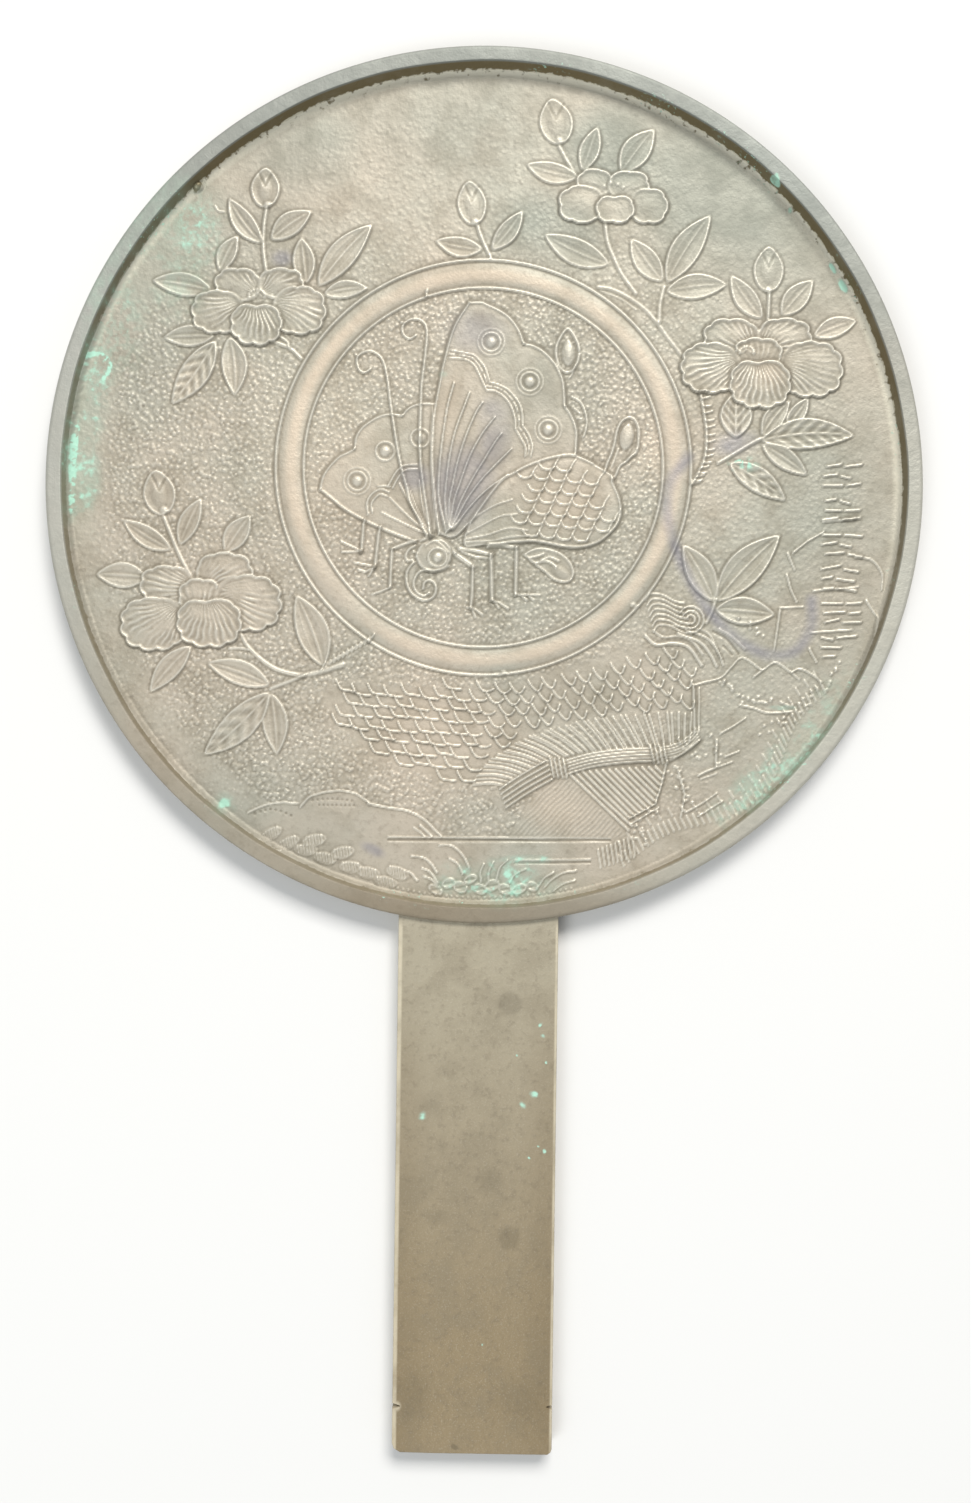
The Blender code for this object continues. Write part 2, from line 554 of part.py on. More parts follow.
def make_scales(group):
    """Rows of scales under the ring, which rise to the right and end at the hem and the fan."""
    hem = [(-26.0, -46.5), (-18.0, -51.0), (-5.0, -53.6), (0.0, -52.4)] + FAN_OUTER[1:]
    pitch = SCALE_PITCH / MM
    columns = int(64.0 / pitch)
    rows = int(24.0 / (SCALE_ROW / MM))
    for row in range(rows):
        for column in range(columns + 1):
            x = -25.0 + pitch * (column + 0.5 * (row % 2))
            rise = 9.0 * (max(x - 2.0, 0.0) / 36.0) ** 2 - 1.2 * (x + 25.0) / 60.0
            y = -33.0 - SCALE_ROW / MM * row + rise
            off_ring = (x - RING_CENTRE[0]) ** 2 + (y - RING_CENTRE[1]) ** 2 > 41.2 ** 2
            above_hem = y > along_line(hem, x) + 1.2
            below_crest = x < 29.0 or y < -32.5
            if x < 37.6 and off_ring and above_hem and below_crest:
                scale(x, y, 20.0 * (0.30 - (x + 25.0) / 63.0), group, f"scale_{row + 1}_{column + 1}")


def make_fan(group):
    """Long ribs that fan out from the bound bundle, and the striped panel below it."""
    ribs = 16
    for rib in range(ribs):
        share = rib / (ribs - 1) * (len(FAN_OUTER) - 1)
        step = min(int(share), len(FAN_OUTER) - 2)
        blend = share - step
        ends = []
        for side in (FAN_OUTER, FAN_INNER):
            spot = Vector(side[step]).lerp(Vector(side[step + 1]), blend)
            ends.append((spot.x, spot.y))
        ridge(ends, FINE_LINE_WIDTH, LINE_HEIGHT, group, f"fan_rib_{rib + 1}")
    for rib in range(8):
        share = rib / 7
        start = Vector((17.0, -52.6)).lerp(Vector((33.0, -50.9)), share)
        end = Vector((27.2, -62.6)).lerp(Vector((33.0, -51.8)), share)
        ridge([tuple(start), tuple(end)], FINE_LINE_WIDTH, LINE_HEIGHT, group, f"panel_rib_{rib + 1}")
    ridge([(34.3, -50.2), (32.6, -57.4), (28.4, -61.3)], FINE_LINE_WIDTH, LINE_HEIGHT, group,
          "panel_edge")
    ridge([(39.2, -36.2), (39.2, -42.6), (39.0, -44.6)], LINE_WIDTH, LINE_HEIGHT, group, "fan_edge")


def make_bundle(group):
    """A bound bundle of strands: three laid lengths and two wrapped bindings."""
    spine = [(4.6, -56.0), (13.8, -51.4), (23.0, -49.3), (32.6, -48.7), (38.6, -46.2)]
    for strand in range(3):
        shift = 1.05 * (strand - 1)
        ridge([(x + 0.3 * shift, y + shift) for x, y in spine], STEM_WIDTH, BUNDLE_HEIGHT, group,
              f"bundle_strand_{strand + 1}")
    for index, (x, y) in enumerate([(13.6, -51.4), (32.6, -48.7)]):
        for turn in range(2):
            start = (x - 0.9 + 1.3 * turn, y + 2.1)
            end = (x - 0.5 + 1.3 * turn, y - 2.2)
            ridge([start, end], 1.2 * STEM_WIDTH, BUNDLE_HEIGHT * 1.3, group,
                  f"binding_{index + 1}_{turn + 1}")


def make_landscape(group):
    """Hill, water line, grass, ridges and rocks along the foot of the field."""
    lines = [
        [(-41.6, -60.6), (-38.2, -59.0), (-33.6, -58.6)],
        [(-33.0, -59.2), (-29.6, -56.8), (-25.5, -56.3), (-20.5, -58.4), (-14.0, -59.5), (-9.6, -61.6),
         (-6.8, -64.6)],
        [(-16.8, -65.2), (24.0, -64.8)],
        [(7.0, -69.0), (23.0, -68.4)],
        [(-12.6, -68.0), (-9.0, -69.2), (-6.8, -72.6)],
        [(-7.4, -65.9), (-3.6, -67.6), (-1.6, -71.4)],
        [(17.6, -70.4), (13.6, -72.0), (11.8, -74.0)],
        [(5.4, -68.2), (3.4, -70.2), (3.0, -73.0)],
        [(5.6, -63.8), (9.0, -60.0), (11.4, -55.6)],
        [(34.9, -50.3), (37.2, -49.0), (40.2, -46.4)],
        [(39.9, -35.7), (44.0, -34.4), (48.0, -31.0), (51.3, -33.1)],
        [(50.6, -34.6), (54.0, -31.7), (58.4, -34.8)],
        [(57.0, -33.2), (58.6, -32.7), (62.6, -35.2)],
        [(40.6, -52.6), (46.0, -50.2)],
        [(38.2, -59.3), (43.4, -56.0)],
        [(44.0, -44.8), (48.6, -41.9)],
        [(43.6, -45.6), (43.4, -50.8)],
        [(50.0, -40.2), (53.0, -40.9), (57.4, -41.0)],
        [(56.2, -11.6), (57.4, -14.6)],
        [(57.0, -11.2), (61.0, -8.4)],
        [(56.0, -15.4), (57.9, -20.8)],
        [(54.8, -21.6), (59.4, -21.4)],
        [(54.4, -22.4), (53.6, -29.4)],
        [(68.6, -12.4), (71.6, -12.6), (73.4, -15.0), (73.2, -19.0)],
    ]
    for index, points in enumerate(lines):
        ridge(points, LINE_WIDTH, LINE_HEIGHT, group, f"scene_line_{index + 1}")
    for index in range(7):
        ridge([(28.5 + 3.0 * index, -66.3 + 2.5 * index), (29.9 + 3.0 * index, -64.6 + 2.5 * index)],
              LINE_WIDTH, LINE_HEIGHT, group, f"moss_dash_{index + 1}")


def make_crest(group):
    """The curled, feathered crest that rises behind the scales."""
    ridge([(30.4, -27.2), (33.0, -28.9), (36.4, -28.6), (39.0, -30.4), (40.6, -33.0)], LINE_WIDTH,
          STEM_HEIGHT, group, "crest_low")
    ridge([(35.6, -26.4), (40.0, -28.2), (43.2, -32.4)], LINE_WIDTH, STEM_HEIGHT, group, "crest_high")
    for index in range(4):
        y = -21.0 - 1.4 * index
        ridge([(30.2, y + 0.6), (33.0, y - 0.6), (36.4 + 0.7 * index, y - 0.7)], FINE_LINE_WIDTH,
              STEM_HEIGHT, group, f"crest_feather_{index + 1}")
    boss((38.6, -24.2), 1.3, STEM_HEIGHT, group, "crest_curl")


def make_column(group):
    """The column at the right edge: blocks of plain shallow strokes that spell nothing."""
    for block in range(4):
        for row in range(3):
            y = 4.6 - 10.2 * block - 2.7 * row
            lean = 0.35 * (row - 1)
            ridge([(62.4 + 0.3 * row, y), (68.8 - 0.5 * row, y + lean)], FINE_LINE_WIDTH, STROKE_HEIGHT,
                  group, f"stroke_{block + 1}_{row + 1}")


def join(mirror, group):
    """Joins every piece of a collection to the mirror, in one step that keeps its faces whole."""
    union = mirror.modifiers.new("join_carving", "BOOLEAN")
    union.operation = "UNION"
    union.solver = "EXACT"
    union.operand_type = "COLLECTION"
    union.collection = group


def main():
    clear_scene()
    mirror = make_disc(collection("bronze_mirror"), bronze())
    group = collection("carving")
    makers = [make_handle, make_ring, make_wings, make_butterfly_body, make_ring_filling,
              make_upper_left_spray, make_top_spray, make_upper_right_spray, make_right_spray,
              make_lower_left_spray, make_sprig, make_scales, make_fan, make_bundle, make_landscape,
              make_crest, make_column]
    for maker in makers:
        maker(group)
    join(mirror, group)


main()
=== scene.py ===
"""Looks of a cast bronze hand mirror, lying on its polished face with the carved back up.

Millimetres are used for the carving's plan and heights, and turned into metres where a mesh is
made. The origin is the centre of the disc, on the underside, and +Y runs away from the handle.
The carving is worked out as one height map of the sunk field, which motifs are cut into one after
another, and the field's patches take from it their heights, normals, wear and patina, and their
painted highlight and painted shade.
"""

import math

import bmesh
import bpy
import numpy as np
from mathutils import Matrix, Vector


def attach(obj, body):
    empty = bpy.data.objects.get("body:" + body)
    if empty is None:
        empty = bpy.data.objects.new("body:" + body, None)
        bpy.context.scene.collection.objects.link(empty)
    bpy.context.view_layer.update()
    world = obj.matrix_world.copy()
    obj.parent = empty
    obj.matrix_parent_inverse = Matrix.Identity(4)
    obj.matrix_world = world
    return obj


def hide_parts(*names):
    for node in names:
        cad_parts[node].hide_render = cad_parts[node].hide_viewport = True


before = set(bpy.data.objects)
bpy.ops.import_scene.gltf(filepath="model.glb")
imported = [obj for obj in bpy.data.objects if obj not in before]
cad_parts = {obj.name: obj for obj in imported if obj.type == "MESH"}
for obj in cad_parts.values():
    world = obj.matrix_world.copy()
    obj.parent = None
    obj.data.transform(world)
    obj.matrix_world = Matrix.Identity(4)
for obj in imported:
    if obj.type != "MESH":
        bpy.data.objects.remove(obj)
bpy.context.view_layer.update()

MM = 0.001

# The carving's height map: the step between its points, and half its side.
SPACING = 0.225
HALF = 77.4
AXIS = np.arange(-HALF, HALF + SPACING / 2, SPACING)

# How many steps a curve makes from one drawn point to the next.
CURVE_STEPS = 6

# How much broader and higher a stroke is cut than it is drawn, and half of the thinnest one.
LINE_FOOT = 1.1
LINE_RISE = 1.2
THINNEST_HALF = 0.23

# The casting: heights above the table, and sizes in plan.
FIELD_Z = 2.0
HANDLE_Z = 4.0
FIELD_RADIUS = 76.6
RIM_RADIUS = 80.0
HANDLE_HALF = 14.6
HANDLE_END = -177.0

# The large ring: its centre and edges, its rounded band, its two beads, and the patch it is in.
RING_CENTRE = (-0.2, 3.6)
RING_INNER = 32.6
RING_OUTER = 38.7
BAND_RADIUS = 35.6
BAND_HALF = 2.2
BAND_HEIGHT = 0.29
OUTER_BEAD = 38.2
INNER_BEAD = 33.05
BEAD_HEIGHT = 0.36
ROUNDEL_RADIUS = 39.3

# The ground's granules: how far apart the large and the fine ones are, and how high.
GRAIN_PITCH = 0.92
GRAIN_HEIGHT = 0.21
FINE_GRAIN_PITCH = 0.6
FINE_GRAIN_HEIGHT = 0.05

# The fillet where the field meets the rim's wall.
FILLET_START = 75.7
FILLET_WIDTH = 1.2


def smoothstep(t):
    """An even rise from 0 to 1, flat at both ends."""
    t = np.clip(t, 0.0, 1.0)
    return t * t * (3.0 - 2.0 * t)


def rounded(away, half):
    """The section of a rounded form: 1 at its middle and 0 from half its width on."""
    return np.clip(1.0 - (away / half) ** 2, 0.0, 1.0)


def ring_distance(x, y):
    """How far a place is from the large ring's centre."""
    return np.hypot(x - RING_CENTRE[0], y - RING_CENTRE[1])


def smooth(points, closed=False):
    """A smooth curve through drawn points."""
    p = np.array(points, float)
    if closed:
        p = np.vstack([p[-1:], p, p[:2]])
    else:
        p = np.vstack([2 * p[0] - p[1], p, 2 * p[-1] - p[-2]])
    made = []
    for a, b, c, d in zip(p, p[1:], p[2:], p[3:]):
        for t in np.arange(CURVE_STEPS) / CURVE_STEPS:
            made.append(0.5 * (2 * b + (c - a) * t + (2 * a - 5 * b + 4 * c - d) * t ** 2
                               + (3 * b - a - 3 * c + d) * t ** 3))
    if not closed:
        made.append(p[-2])
    return np.array(made)


def outline(*runs):
    """A closed shape whose runs are smooth and meet at corners."""
    return np.vstack([smooth(run)[:-1] if len(run) > 2 else np.array(run[:1], float)
                      for run in runs])


def nearest(x, y, path):
    """For each place: the distance to a path, the share of its length there, and the side."""
    best = np.full(x.shape, 1e9)
    share = np.zeros(x.shape)
    side = np.zeros(x.shape)
    lengths = np.hypot(*np.diff(path, axis=0).T)
    total = lengths.sum()
    run = 0.0
    for (ax, ay), (bx, by), length in zip(path[:-1], path[1:], lengths):
        if length < 1e-6:
            continue
        ux = (bx - ax) / length
        uy = (by - ay) / length
        along = np.clip((x - ax) * ux + (y - ay) * uy, 0.0, length)
        dx = x - ax - along * ux
        dy = y - ay - along * uy
        d = np.hypot(dx, dy)
        near = d < best
        best = np.where(near, d, best)
        share = np.where(near, (run + along) / total, share)
        side = np.where(near, ux * dy - uy * dx, side)
        run += length
    return best, share, side


def within(x, y, loop):
    """Which places lie inside a loop."""
    hit = np.zeros(x.shape, bool)
    for (ax, ay), (bx, by) in zip(loop, np.roll(loop, -1, axis=0)):
        if abs(ay - by) > 1e-9:
            hit ^= ((ay > y) != (by > y)) & (x < (bx - ax) * (y - ay) / (by - ay) + ax)
    return hit


def chance(i, j, seed):
    """A steady pseudo-random share for each pair of whole numbers."""
    n = i.astype(np.int64) * 374761393 + j.astype(np.int64) * 668265263 + seed * 974634777
    n = n & 0x7FFFFFFF
    n = ((n ^ (n >> 13)) * 1274126177) & 0x7FFFFFFF
    return ((n ^ (n >> 16)) & 0xFFFF) / 65535.0


def draw(i, j, seed):
    """The steady share of one pair of whole numbers."""
    return float(chance(np.array(i), np.array(j), seed))


def grains(x, y, pitch, seed, squash=1.0):
    """Rounded granules scattered about a pitch apart, from 0 between them to 1 on their tops."""
    u = x / pitch
    v = y / (pitch * squash)
    best = np.zeros(x.shape)
    for di in (-1, 0, 1):
        for dj in (-1, 0, 1):
            i = np.floor(u) + di
            j = np.floor(v) + dj
            cx = i + 0.98 * chance(i, j, seed)
            cy = j + 0.98 * chance(i, j, seed + 1)
            size = 0.34 + 0.32 * chance(i, j, seed + 2)
            tall = 0.25 + 0.75 * chance(i, j, seed + 3)
            d = np.hypot(u - cx, v - cy) / size
            best = np.maximum(best, tall * np.clip(1.0 - d * d, 0.0, 1.0))
    return best


def cloud(x, y, scale, seed, octaves=3):
    """Soft mottling between 0 and 1."""
    total = np.zeros(x.shape)
    weight = 0.0
    for octave in range(octaves):
        u = x / scale * 2 ** octave + 31.7 * octave
        v = y / scale * 2 ** octave + 17.3 * octave
        i = np.floor(u)
        j = np.floor(v)
        fu = smoothstep(u - i)
        fv = smoothstep(v - j)
        low = chance(i, j, seed) * (1 - fu) + chance(i + 1, j, seed) * fu
        high = chance(i, j + 1, seed) * (1 - fu) + chance(i + 1, j + 1, seed) * fu
        total += (low * (1 - fv) + high * fv) * 0.5 ** octave
        weight += 0.5 ** octave
    return total / weight


class Relief:
    """The height of the carving over the field, and how much of the ground's grain it covers."""

    def __init__(self):
        self.x, self.y = np.meshgrid(AXIS, AXIS)
        self.z = np.zeros(self.x.shape)
        self.cover = np.zeros(self.x.shape)
        self.strength = 1.0

    def near(self, path, reach):
        """The part of the map that lies about a path."""
        low = path.min(axis=0) - reach
        high = path.max(axis=0) + reach
        columns = slice(*np.searchsorted(AXIS, (low[0], high[0])))
        rows = slice(*np.searchsorted(AXIS, (low[1], high[1])))
        return rows, columns

    def lay(self, here, height, form):
        """Adds a form to what is there, at the strength of the motif being cut."""
        self.z[here] += self.strength * height * form
        if height > 0:
            self.cover[here] = np.maximum(self.cover[here], smoothstep(2.5 * form))

    def stroke(self, points, width, height, taper=(1.0, 1.0), curved=True):
        """A rounded line; taper gives its share of the width at its start and its end."""
        path = smooth(points) if curved and len(points) > 2 else np.array(points, float)
        here = self.near(path, width)
        d, share, _ = nearest(self.x[here], self.y[here], path)
        fade = taper[0] + (taper[1] - taper[0]) * share
        half = np.maximum(LINE_FOOT * width / 2 * fade, THINNEST_HALF)
        form = rounded(d, half)
        self.lay(here, LINE_RISE * height, form * np.clip(0.35 + 0.65 * fade, 0.0, 1.0))

    def plate(self, loop, level, edge=0.4, lip=0.0, lip_width=0.3, dish=0.0, crevice=0.03,
              form=None):
        """Lays a raised shape over the rest; lip, dish, crevice and surface form are optional."""
        here = self.near(loop, 1.5)
        x, y = self.x[here], self.y[here]
        d, _, _ = nearest(x, y, np.vstack([loop, loop[:1]]))
        depth = np.where(within(x, y, loop), d, -d)
        mask = smoothstep(depth / edge + 0.5)
        top = level + lip * np.exp(-((depth - 0.75 * lip_width) / lip_width) ** 2)
        top = top - dish * smoothstep((depth - lip_width) / 1.4)
        if form is not None:
            top = top + form(x, y, depth)
        moat = crevice * np.exp(-((depth + 0.55 * edge) / 0.25) ** 2)
        self.z[here] = (self.z[here] - moat) * (1.0 - mask) + self.strength * top * mask
        self.cover[here] = np.maximum(self.cover[here], mask)

    def knob(self, centre, half_x, half_y, height, turn=0.0, power=1.0):
        """A rounded knob added on what is there."""
        reach = max(half_x, half_y)
        here = self.near(np.array([centre], float), reach)
        dx = self.x[here] - centre[0]
        dy = self.y[here] - centre[1]
        angle = math.radians(turn)
        u = (dx * math.cos(angle) + dy * math.sin(angle)) / half_x
        v = (-dx * math.sin(angle) + dy * math.cos(angle)) / half_y
        self.lay(here, height, np.clip(1.0 - u * u - v * v, 0.0, 1.0) ** power)

    def circle(self, centre, radius, width, height):
        """A thin ring added on what is there."""
        here = self.near(np.array([centre], float), radius + width)
        d = np.hypot(self.x[here] - centre[0], self.y[here] - centre[1]) - radius
        self.lay(here, height, rounded(2 * d, width))


def egg(centre, half_x, half_y, turn=0.0, point=0.0):
    """An egg-shaped loop, narrowed towards its top by the share point."""
    angle = np.linspace(0.0, 2 * math.pi, 40, endpoint=False)
    v = np.sin(angle) * half_y
    u = np.cos(angle) * half_x * (1.0 - point * np.clip(np.sin(angle), 0.0, 1.0) ** 1.5)
    turned = math.radians(turn)
    return np.column_stack([centre[0] + u * math.cos(turned) - v * math.sin(turned),
                            centre[1] + u * math.sin(turned) + v * math.cos(turned)])


def leaf(relief, x1, y1, x2, y2, half, bend, veins=0):
    """A pointed leaf: a thin raised margin round a dished blade with a fine midrib and nerves."""
    base = np.array([x1, y1], float)
    run = np.array([x2, y2], float) - base
    length = float(np.hypot(*run))
    ahead = run / length
    aside = np.array([-ahead[1], ahead[0]])
    t = np.linspace(0.0, 1.0, 19)
    swell = np.sin(math.pi * t ** 0.92) ** 0.82
    middle = base + np.outer(t * length, ahead) + np.outer(4 * t * (1 - t) * bend * length, aside)
    left = middle + np.outer(swell * half, aside)
    right = middle - np.outer(swell * half, aside)
    loop = np.vstack([left, right[::-1][1:-1]])

    def blade(x, y, inner):
        u = (x - x1) * ahead[0] + (y - y1) * ahead[1]
        v = (x - x1) * aside[0] + (y - y1) * aside[1]
        share = np.clip(u / length, 0.0, 1.0)
        v = v - 4 * share * (1 - share) * bend * length
        wide = half * np.clip(np.sin(math.pi * share ** 0.92), 0.05, 1.0) ** 0.82
        dished = 0.34 * (np.clip(np.abs(v) / wide, 0.0, 1.0) ** 1.3 - 1.0)
        rib = 0.15 * np.exp(-(v / 0.24) ** 2) * smoothstep(inner / 0.35)
        nerve = 0.05 * np.exp(-((np.abs(v) - 0.48 * wide) / 0.18) ** 2)
        nerve *= smoothstep(share * (1 - share) * 8)
        form = dished + rib + nerve
        if veins:
            wave = np.cos(2 * math.pi * (u - 1.25 * np.abs(v)) * veins / length)
            form = form + 0.07 * wave * smoothstep(inner / 0.6) * smoothstep(np.abs(v) / 0.4)
        return form

    relief.plate(loop, 0.34, edge=0.36, lip=0.07, lip_width=0.22, form=blade)


def bud(relief, x, y, half_x, half_y, turn, ball):
    """A closed bud: a thin-lipped outer sheath, a domed heart and a small ball at its foot."""
    sheath = egg((x, y), half_x, half_y, turn, 0.35)
    relief.plate(sheath, 0.14, edge=0.36, lip=0.15, lip_width=0.22, dish=0.05)
    relief.knob((x, y - 0.05 * half_y), 0.52 * half_x, 0.64 * half_y, 0.24, turn)
    relief.stroke([(x - 0.45 * half_x, y + 0.75 * half_y), (x, y + 0.1 * half_y),
                   (x + 0.45 * half_x, y + 0.75 * half_y)], 0.6, -0.10, curved=False)
    relief.knob(ball, 0.9, 0.8, 0.30)


def petal(relief, low_x, high_x, low_y, high_y, heart, level, lobes=7, stripes=0.07, front=False):
    """A scalloped petal that fills a box, fluted outwards; a front one has its lip all round."""
    centre = np.array([(low_x + high_x) / 2, (low_y + high_y) / 2])
    half_x = (high_x - low_x) / 2
    half_y = (high_y - low_y) / 2
    outward = math.atan2(centre[1] - heart[1], centre[0] - heart[0])
    angle = np.linspace(0.0, 2 * math.pi, 144, endpoint=False)
    turned = (angle - outward + math.pi) % (2 * math.pi) - math.pi
    facing = 0.5 + 0.5 * np.cos(turned)
    scallop = 1.04 - 0.12 * facing ** 0.5 * (1.0 - np.abs(np.sin(lobes * turned / 2 + 0.6)) ** 0.6)
    if front:
        scallop = scallop - 0.16 * np.exp(-((math.pi - np.abs(turned)) / 0.28) ** 2)
    box = (np.abs(np.cos(angle)) ** 2.4 + np.abs(np.sin(angle)) ** 2.4) ** (-1 / 2.4)
    loop = np.column_stack([centre[0] + half_x * np.cos(angle) * scallop * box * 0.97,
                            centre[1] + half_y * np.sin(angle) * scallop * box * 0.97])
    reach = math.hypot(half_x * math.cos(outward), half_y * math.sin(outward))
    root = centre - 1.3 * reach * np.array([math.cos(outward), math.sin(outward)])
    count = round(2 * math.pi * 1.3 * reach / 0.86)

    def surface(x, y, inner):
        far = np.hypot(x - root[0], y - root[1])
        theta = np.arctan2(y - root[1], x - root[0])
        theta = (theta - outward + math.pi) % (2 * math.pi) - math.pi
        along = far * np.cos(theta) / reach - 1.3
        wander = 1.1 * np.sin(0.7 * far + 1.0) + 0.6 * np.sin(x + 2.0 * y)
        waves = (0.5 + 0.5 * np.cos(count * theta + wander)) ** 1.4 - 0.4
        patchy = np.clip(2.2 * cloud(x, y, 2.4, 17, 2) - 0.35, 0.15, 1.3)
        flutes = 2.0 * stripes * waves * patchy
        flutes *= smoothstep((inner - 0.5) / 0.8) * smoothstep((far - 0.6) / 2.0)
        rise = np.ones(x.shape) if front else smoothstep((along + 1.05) / 0.9)
        lip = 0.20 * np.exp(-((inner - 0.15) / 0.24) ** 2) * rise
        swell = 0.09 * smoothstep((inner - 1.4) / 1.8) - 0.13 * smoothstep((inner - 0.3) / 0.6)
        return level * (0.45 + 0.55 * rise) - level + lip + swell + flutes

    relief.plate(loop, level, edge=0.34, crevice=0.04, form=surface)


def stamens(relief, x, y, spread):
    """A tuft of short stamens at a flower's heart."""
    for index in range(9):
        angle = math.radians(200.0 * index / 8 - 10.0)
        reach = 0.75 * spread
        tip = (x + reach * math.cos(angle), y + 0.8 * reach * math.sin(angle))
        relief.stroke([(0.6 * x + 0.4 * tip[0], 0.6 * y + 0.4 * tip[1]), tip], 0.42, 0.08)
        relief.knob(tip, 0.4, 0.4, 0.12)


def make_ring(relief):
    """The large ring: a broad rounded band between two thin beads."""
    r = ring_distance(relief.x, relief.y)
    band = BAND_HEIGHT * rounded(r - BAND_RADIUS, BAND_HALF) ** 0.75
    beads = BEAD_HEIGHT * (rounded(r - OUTER_BEAD, 0.40) + rounded(r - INNER_BEAD, 0.38))
    mask = smoothstep((r - RING_INNER) / 0.3) * smoothstep((RING_OUTER - r) / 0.3)
    relief.z = relief.z * (1 - mask) + (band + beads) * mask
    relief.cover = np.maximum(relief.cover, mask)


GREAT_EDGE = [(-3.25, 33.9), (-1.0, 34.0), (0.0, 33.6), (2.25, 32.6), (4.25, 31.25), (6.0, 29.0),
              (7.0, 26.5)]
GREAT_LOBE = [(7.0, 26.5), (9.0, 26.0), (11.0, 24.75), (13.0, 22.5), (14.25, 19.75), (14.6, 16.75),
              (14.7, 15.0)]
GREAT_FOOT = [(14.7, 15.0), (15.5, 14.0), (16.5, 12.0), (16.95, 10.0), (16.9, 8.0), (16.75, 5.5)]
GREAT_BACK = [(-8.3, -8.8), (-8.8, -5.5), (-9.4, 0.0), (-9.75, 5.5), (-9.5, 13.0), (-8.5, 19.0),
              (-7.75, 23.0), (-6.0, 29.25), (-3.25, 33.9)]
SMALL_TOP = [(-9.5, 15.2), (-11.0, 15.3), (-12.75, 15.0), (-14.25, 14.25), (-15.25, 13.0)]
SMALL_LOBE = [(-15.25, 13.0), (-17.5, 13.25), (-19.5, 12.75), (-21.25, 11.75), (-22.75, 10.5),
              (-23.75, 8.75), (-24.0, 6.7)]
SMALL_TIP = [(-24.0, 6.7), (-25.25, 6.0), (-26.75, 5.25), (-28.25, 3.75), (-29.5, 2.0),
             (-30.0, 0.5), (-30.25, -0.9)]
SMALL_FOOT = [(-30.25, -0.9), (-28.5, -2.25), (-25.5, -4.6), (-22.0, -6.5), (-19.0, -7.9),
              (-15.25, -9.4), (-12.5, -10.25)]
ABDOMEN = [(-3.5, -10.9), (-2.5, -6.5), (2.5, 0.5), (5.5, 2.75), (8.75, 4.4), (12.0, 5.5),
           (15.0, 6.1), (17.0, 5.9), (20.0, 4.6), (23.4, 2.5), (23.5, 1.5), (24.0, 0.25),
           (24.9, -1.75), (25.25, -4.25), (24.75, -6.25), (23.5, -8.0), (21.5, -9.75),
           (19.0, -10.75), (16.5, -11.0),
           (14.0, -10.75), (11.5, -10.25), (9.0, -9.95), (6.5, -10.1), (1.0, -10.6)]


def wing_spot(relief, x, y, outer=True):
    """A round knob in one thin ring or two."""
    relief.knob((x, y), 1.05, 1.05, 0.32, power=0.8)
    relief.circle((x, y), 1.72, 0.55, 0.13)
    if outer:
        relief.circle((x, y), 2.45, 0.5, 0.09)


def ladder(relief, outer, inner, rungs):
    """A border between two lines, crossed by short rungs."""
    relief.stroke(outer, 0.42, 0.15)
    relief.stroke(inner, 0.42, 0.15)
    a = smooth(outer)
    b = smooth(inner)
    for index in range(rungs):
        share = (index + 0.5) / rungs
        p = a[int(share * (len(a) - 1))]
        q = b[int(share * (len(b) - 1))]
        slide = 0.5 if index % 2 else -0.5
        ahead = a[min(int(share * (len(a) - 1)) + 2, len(a) - 1)] - p
        ahead = ahead / max(float(np.hypot(*ahead)), 0.01)
        spot = (p + q) / 2 + ahead * slide * 0.3
        relief.stroke([spot - ahead * 0.45, spot + ahead * 0.45], 0.4, 0.12)


def make_small_wing(relief):
    """The small wing at the left: its edge, three spots, two curls and five veins."""
    loop = outline(SMALL_TOP, SMALL_LOBE, SMALL_TIP, SMALL_FOOT,
                   [(-12.5, -10.25), (-9.0, -9.0), (-9.4, 0.0), (-9.7, 6.0), (-9.5, 15.2)])
    relief.plate(loop, 0.22, edge=0.4, lip=0.08, lip_width=0.24, dish=-0.06)
    for run in (SMALL_TOP, SMALL_LOBE, SMALL_TIP, SMALL_FOOT):
        relief.stroke(run, 0.62, 0.17)
    wing_spot(relief, -23.4, 0.75)
    wing_spot(relief, -18.3, 6.3, outer=False)
    wing_spot(relief, -11.9, 8.8, outer=False)
    for points in ([(-12.5, 3.9), (-14.75, 3.7), (-16.2, 2.5), (-17.6, 0.0)],
                   [(-12.4, 3.1), (-14.4, 2.9), (-15.6, 1.8), (-16.8, -0.4)],
                   [(-17.5, -1.2), (-19.1, -0.7), (-20.7, -1.7), (-21.5, -3.3), (-21.3, -5.3)],
                   [(-17.9, -2.0), (-19.1, -1.6), (-20.1, -2.4), (-20.7, -3.6), (-20.5, -5.0)],
                   [(-17.4, -0.2), (-18.2, -0.1), (-19.6, -0.2)]):
        relief.stroke(points, 0.42, 0.16)
    for tip in [(-18.8, -5.0), (-17.4, -2.2), (-15.6, 0.4), (-14.1, 0.2), (-12.0, 1.0)]:
        half_way = ((tip[0] - 9.6) / 2 - 0.4, (tip[1] - 9.2) / 2 + 0.1)
        relief.stroke([(-9.6, -9.2), half_way, tip], 0.5, 0.17, (1.0, 0.7))


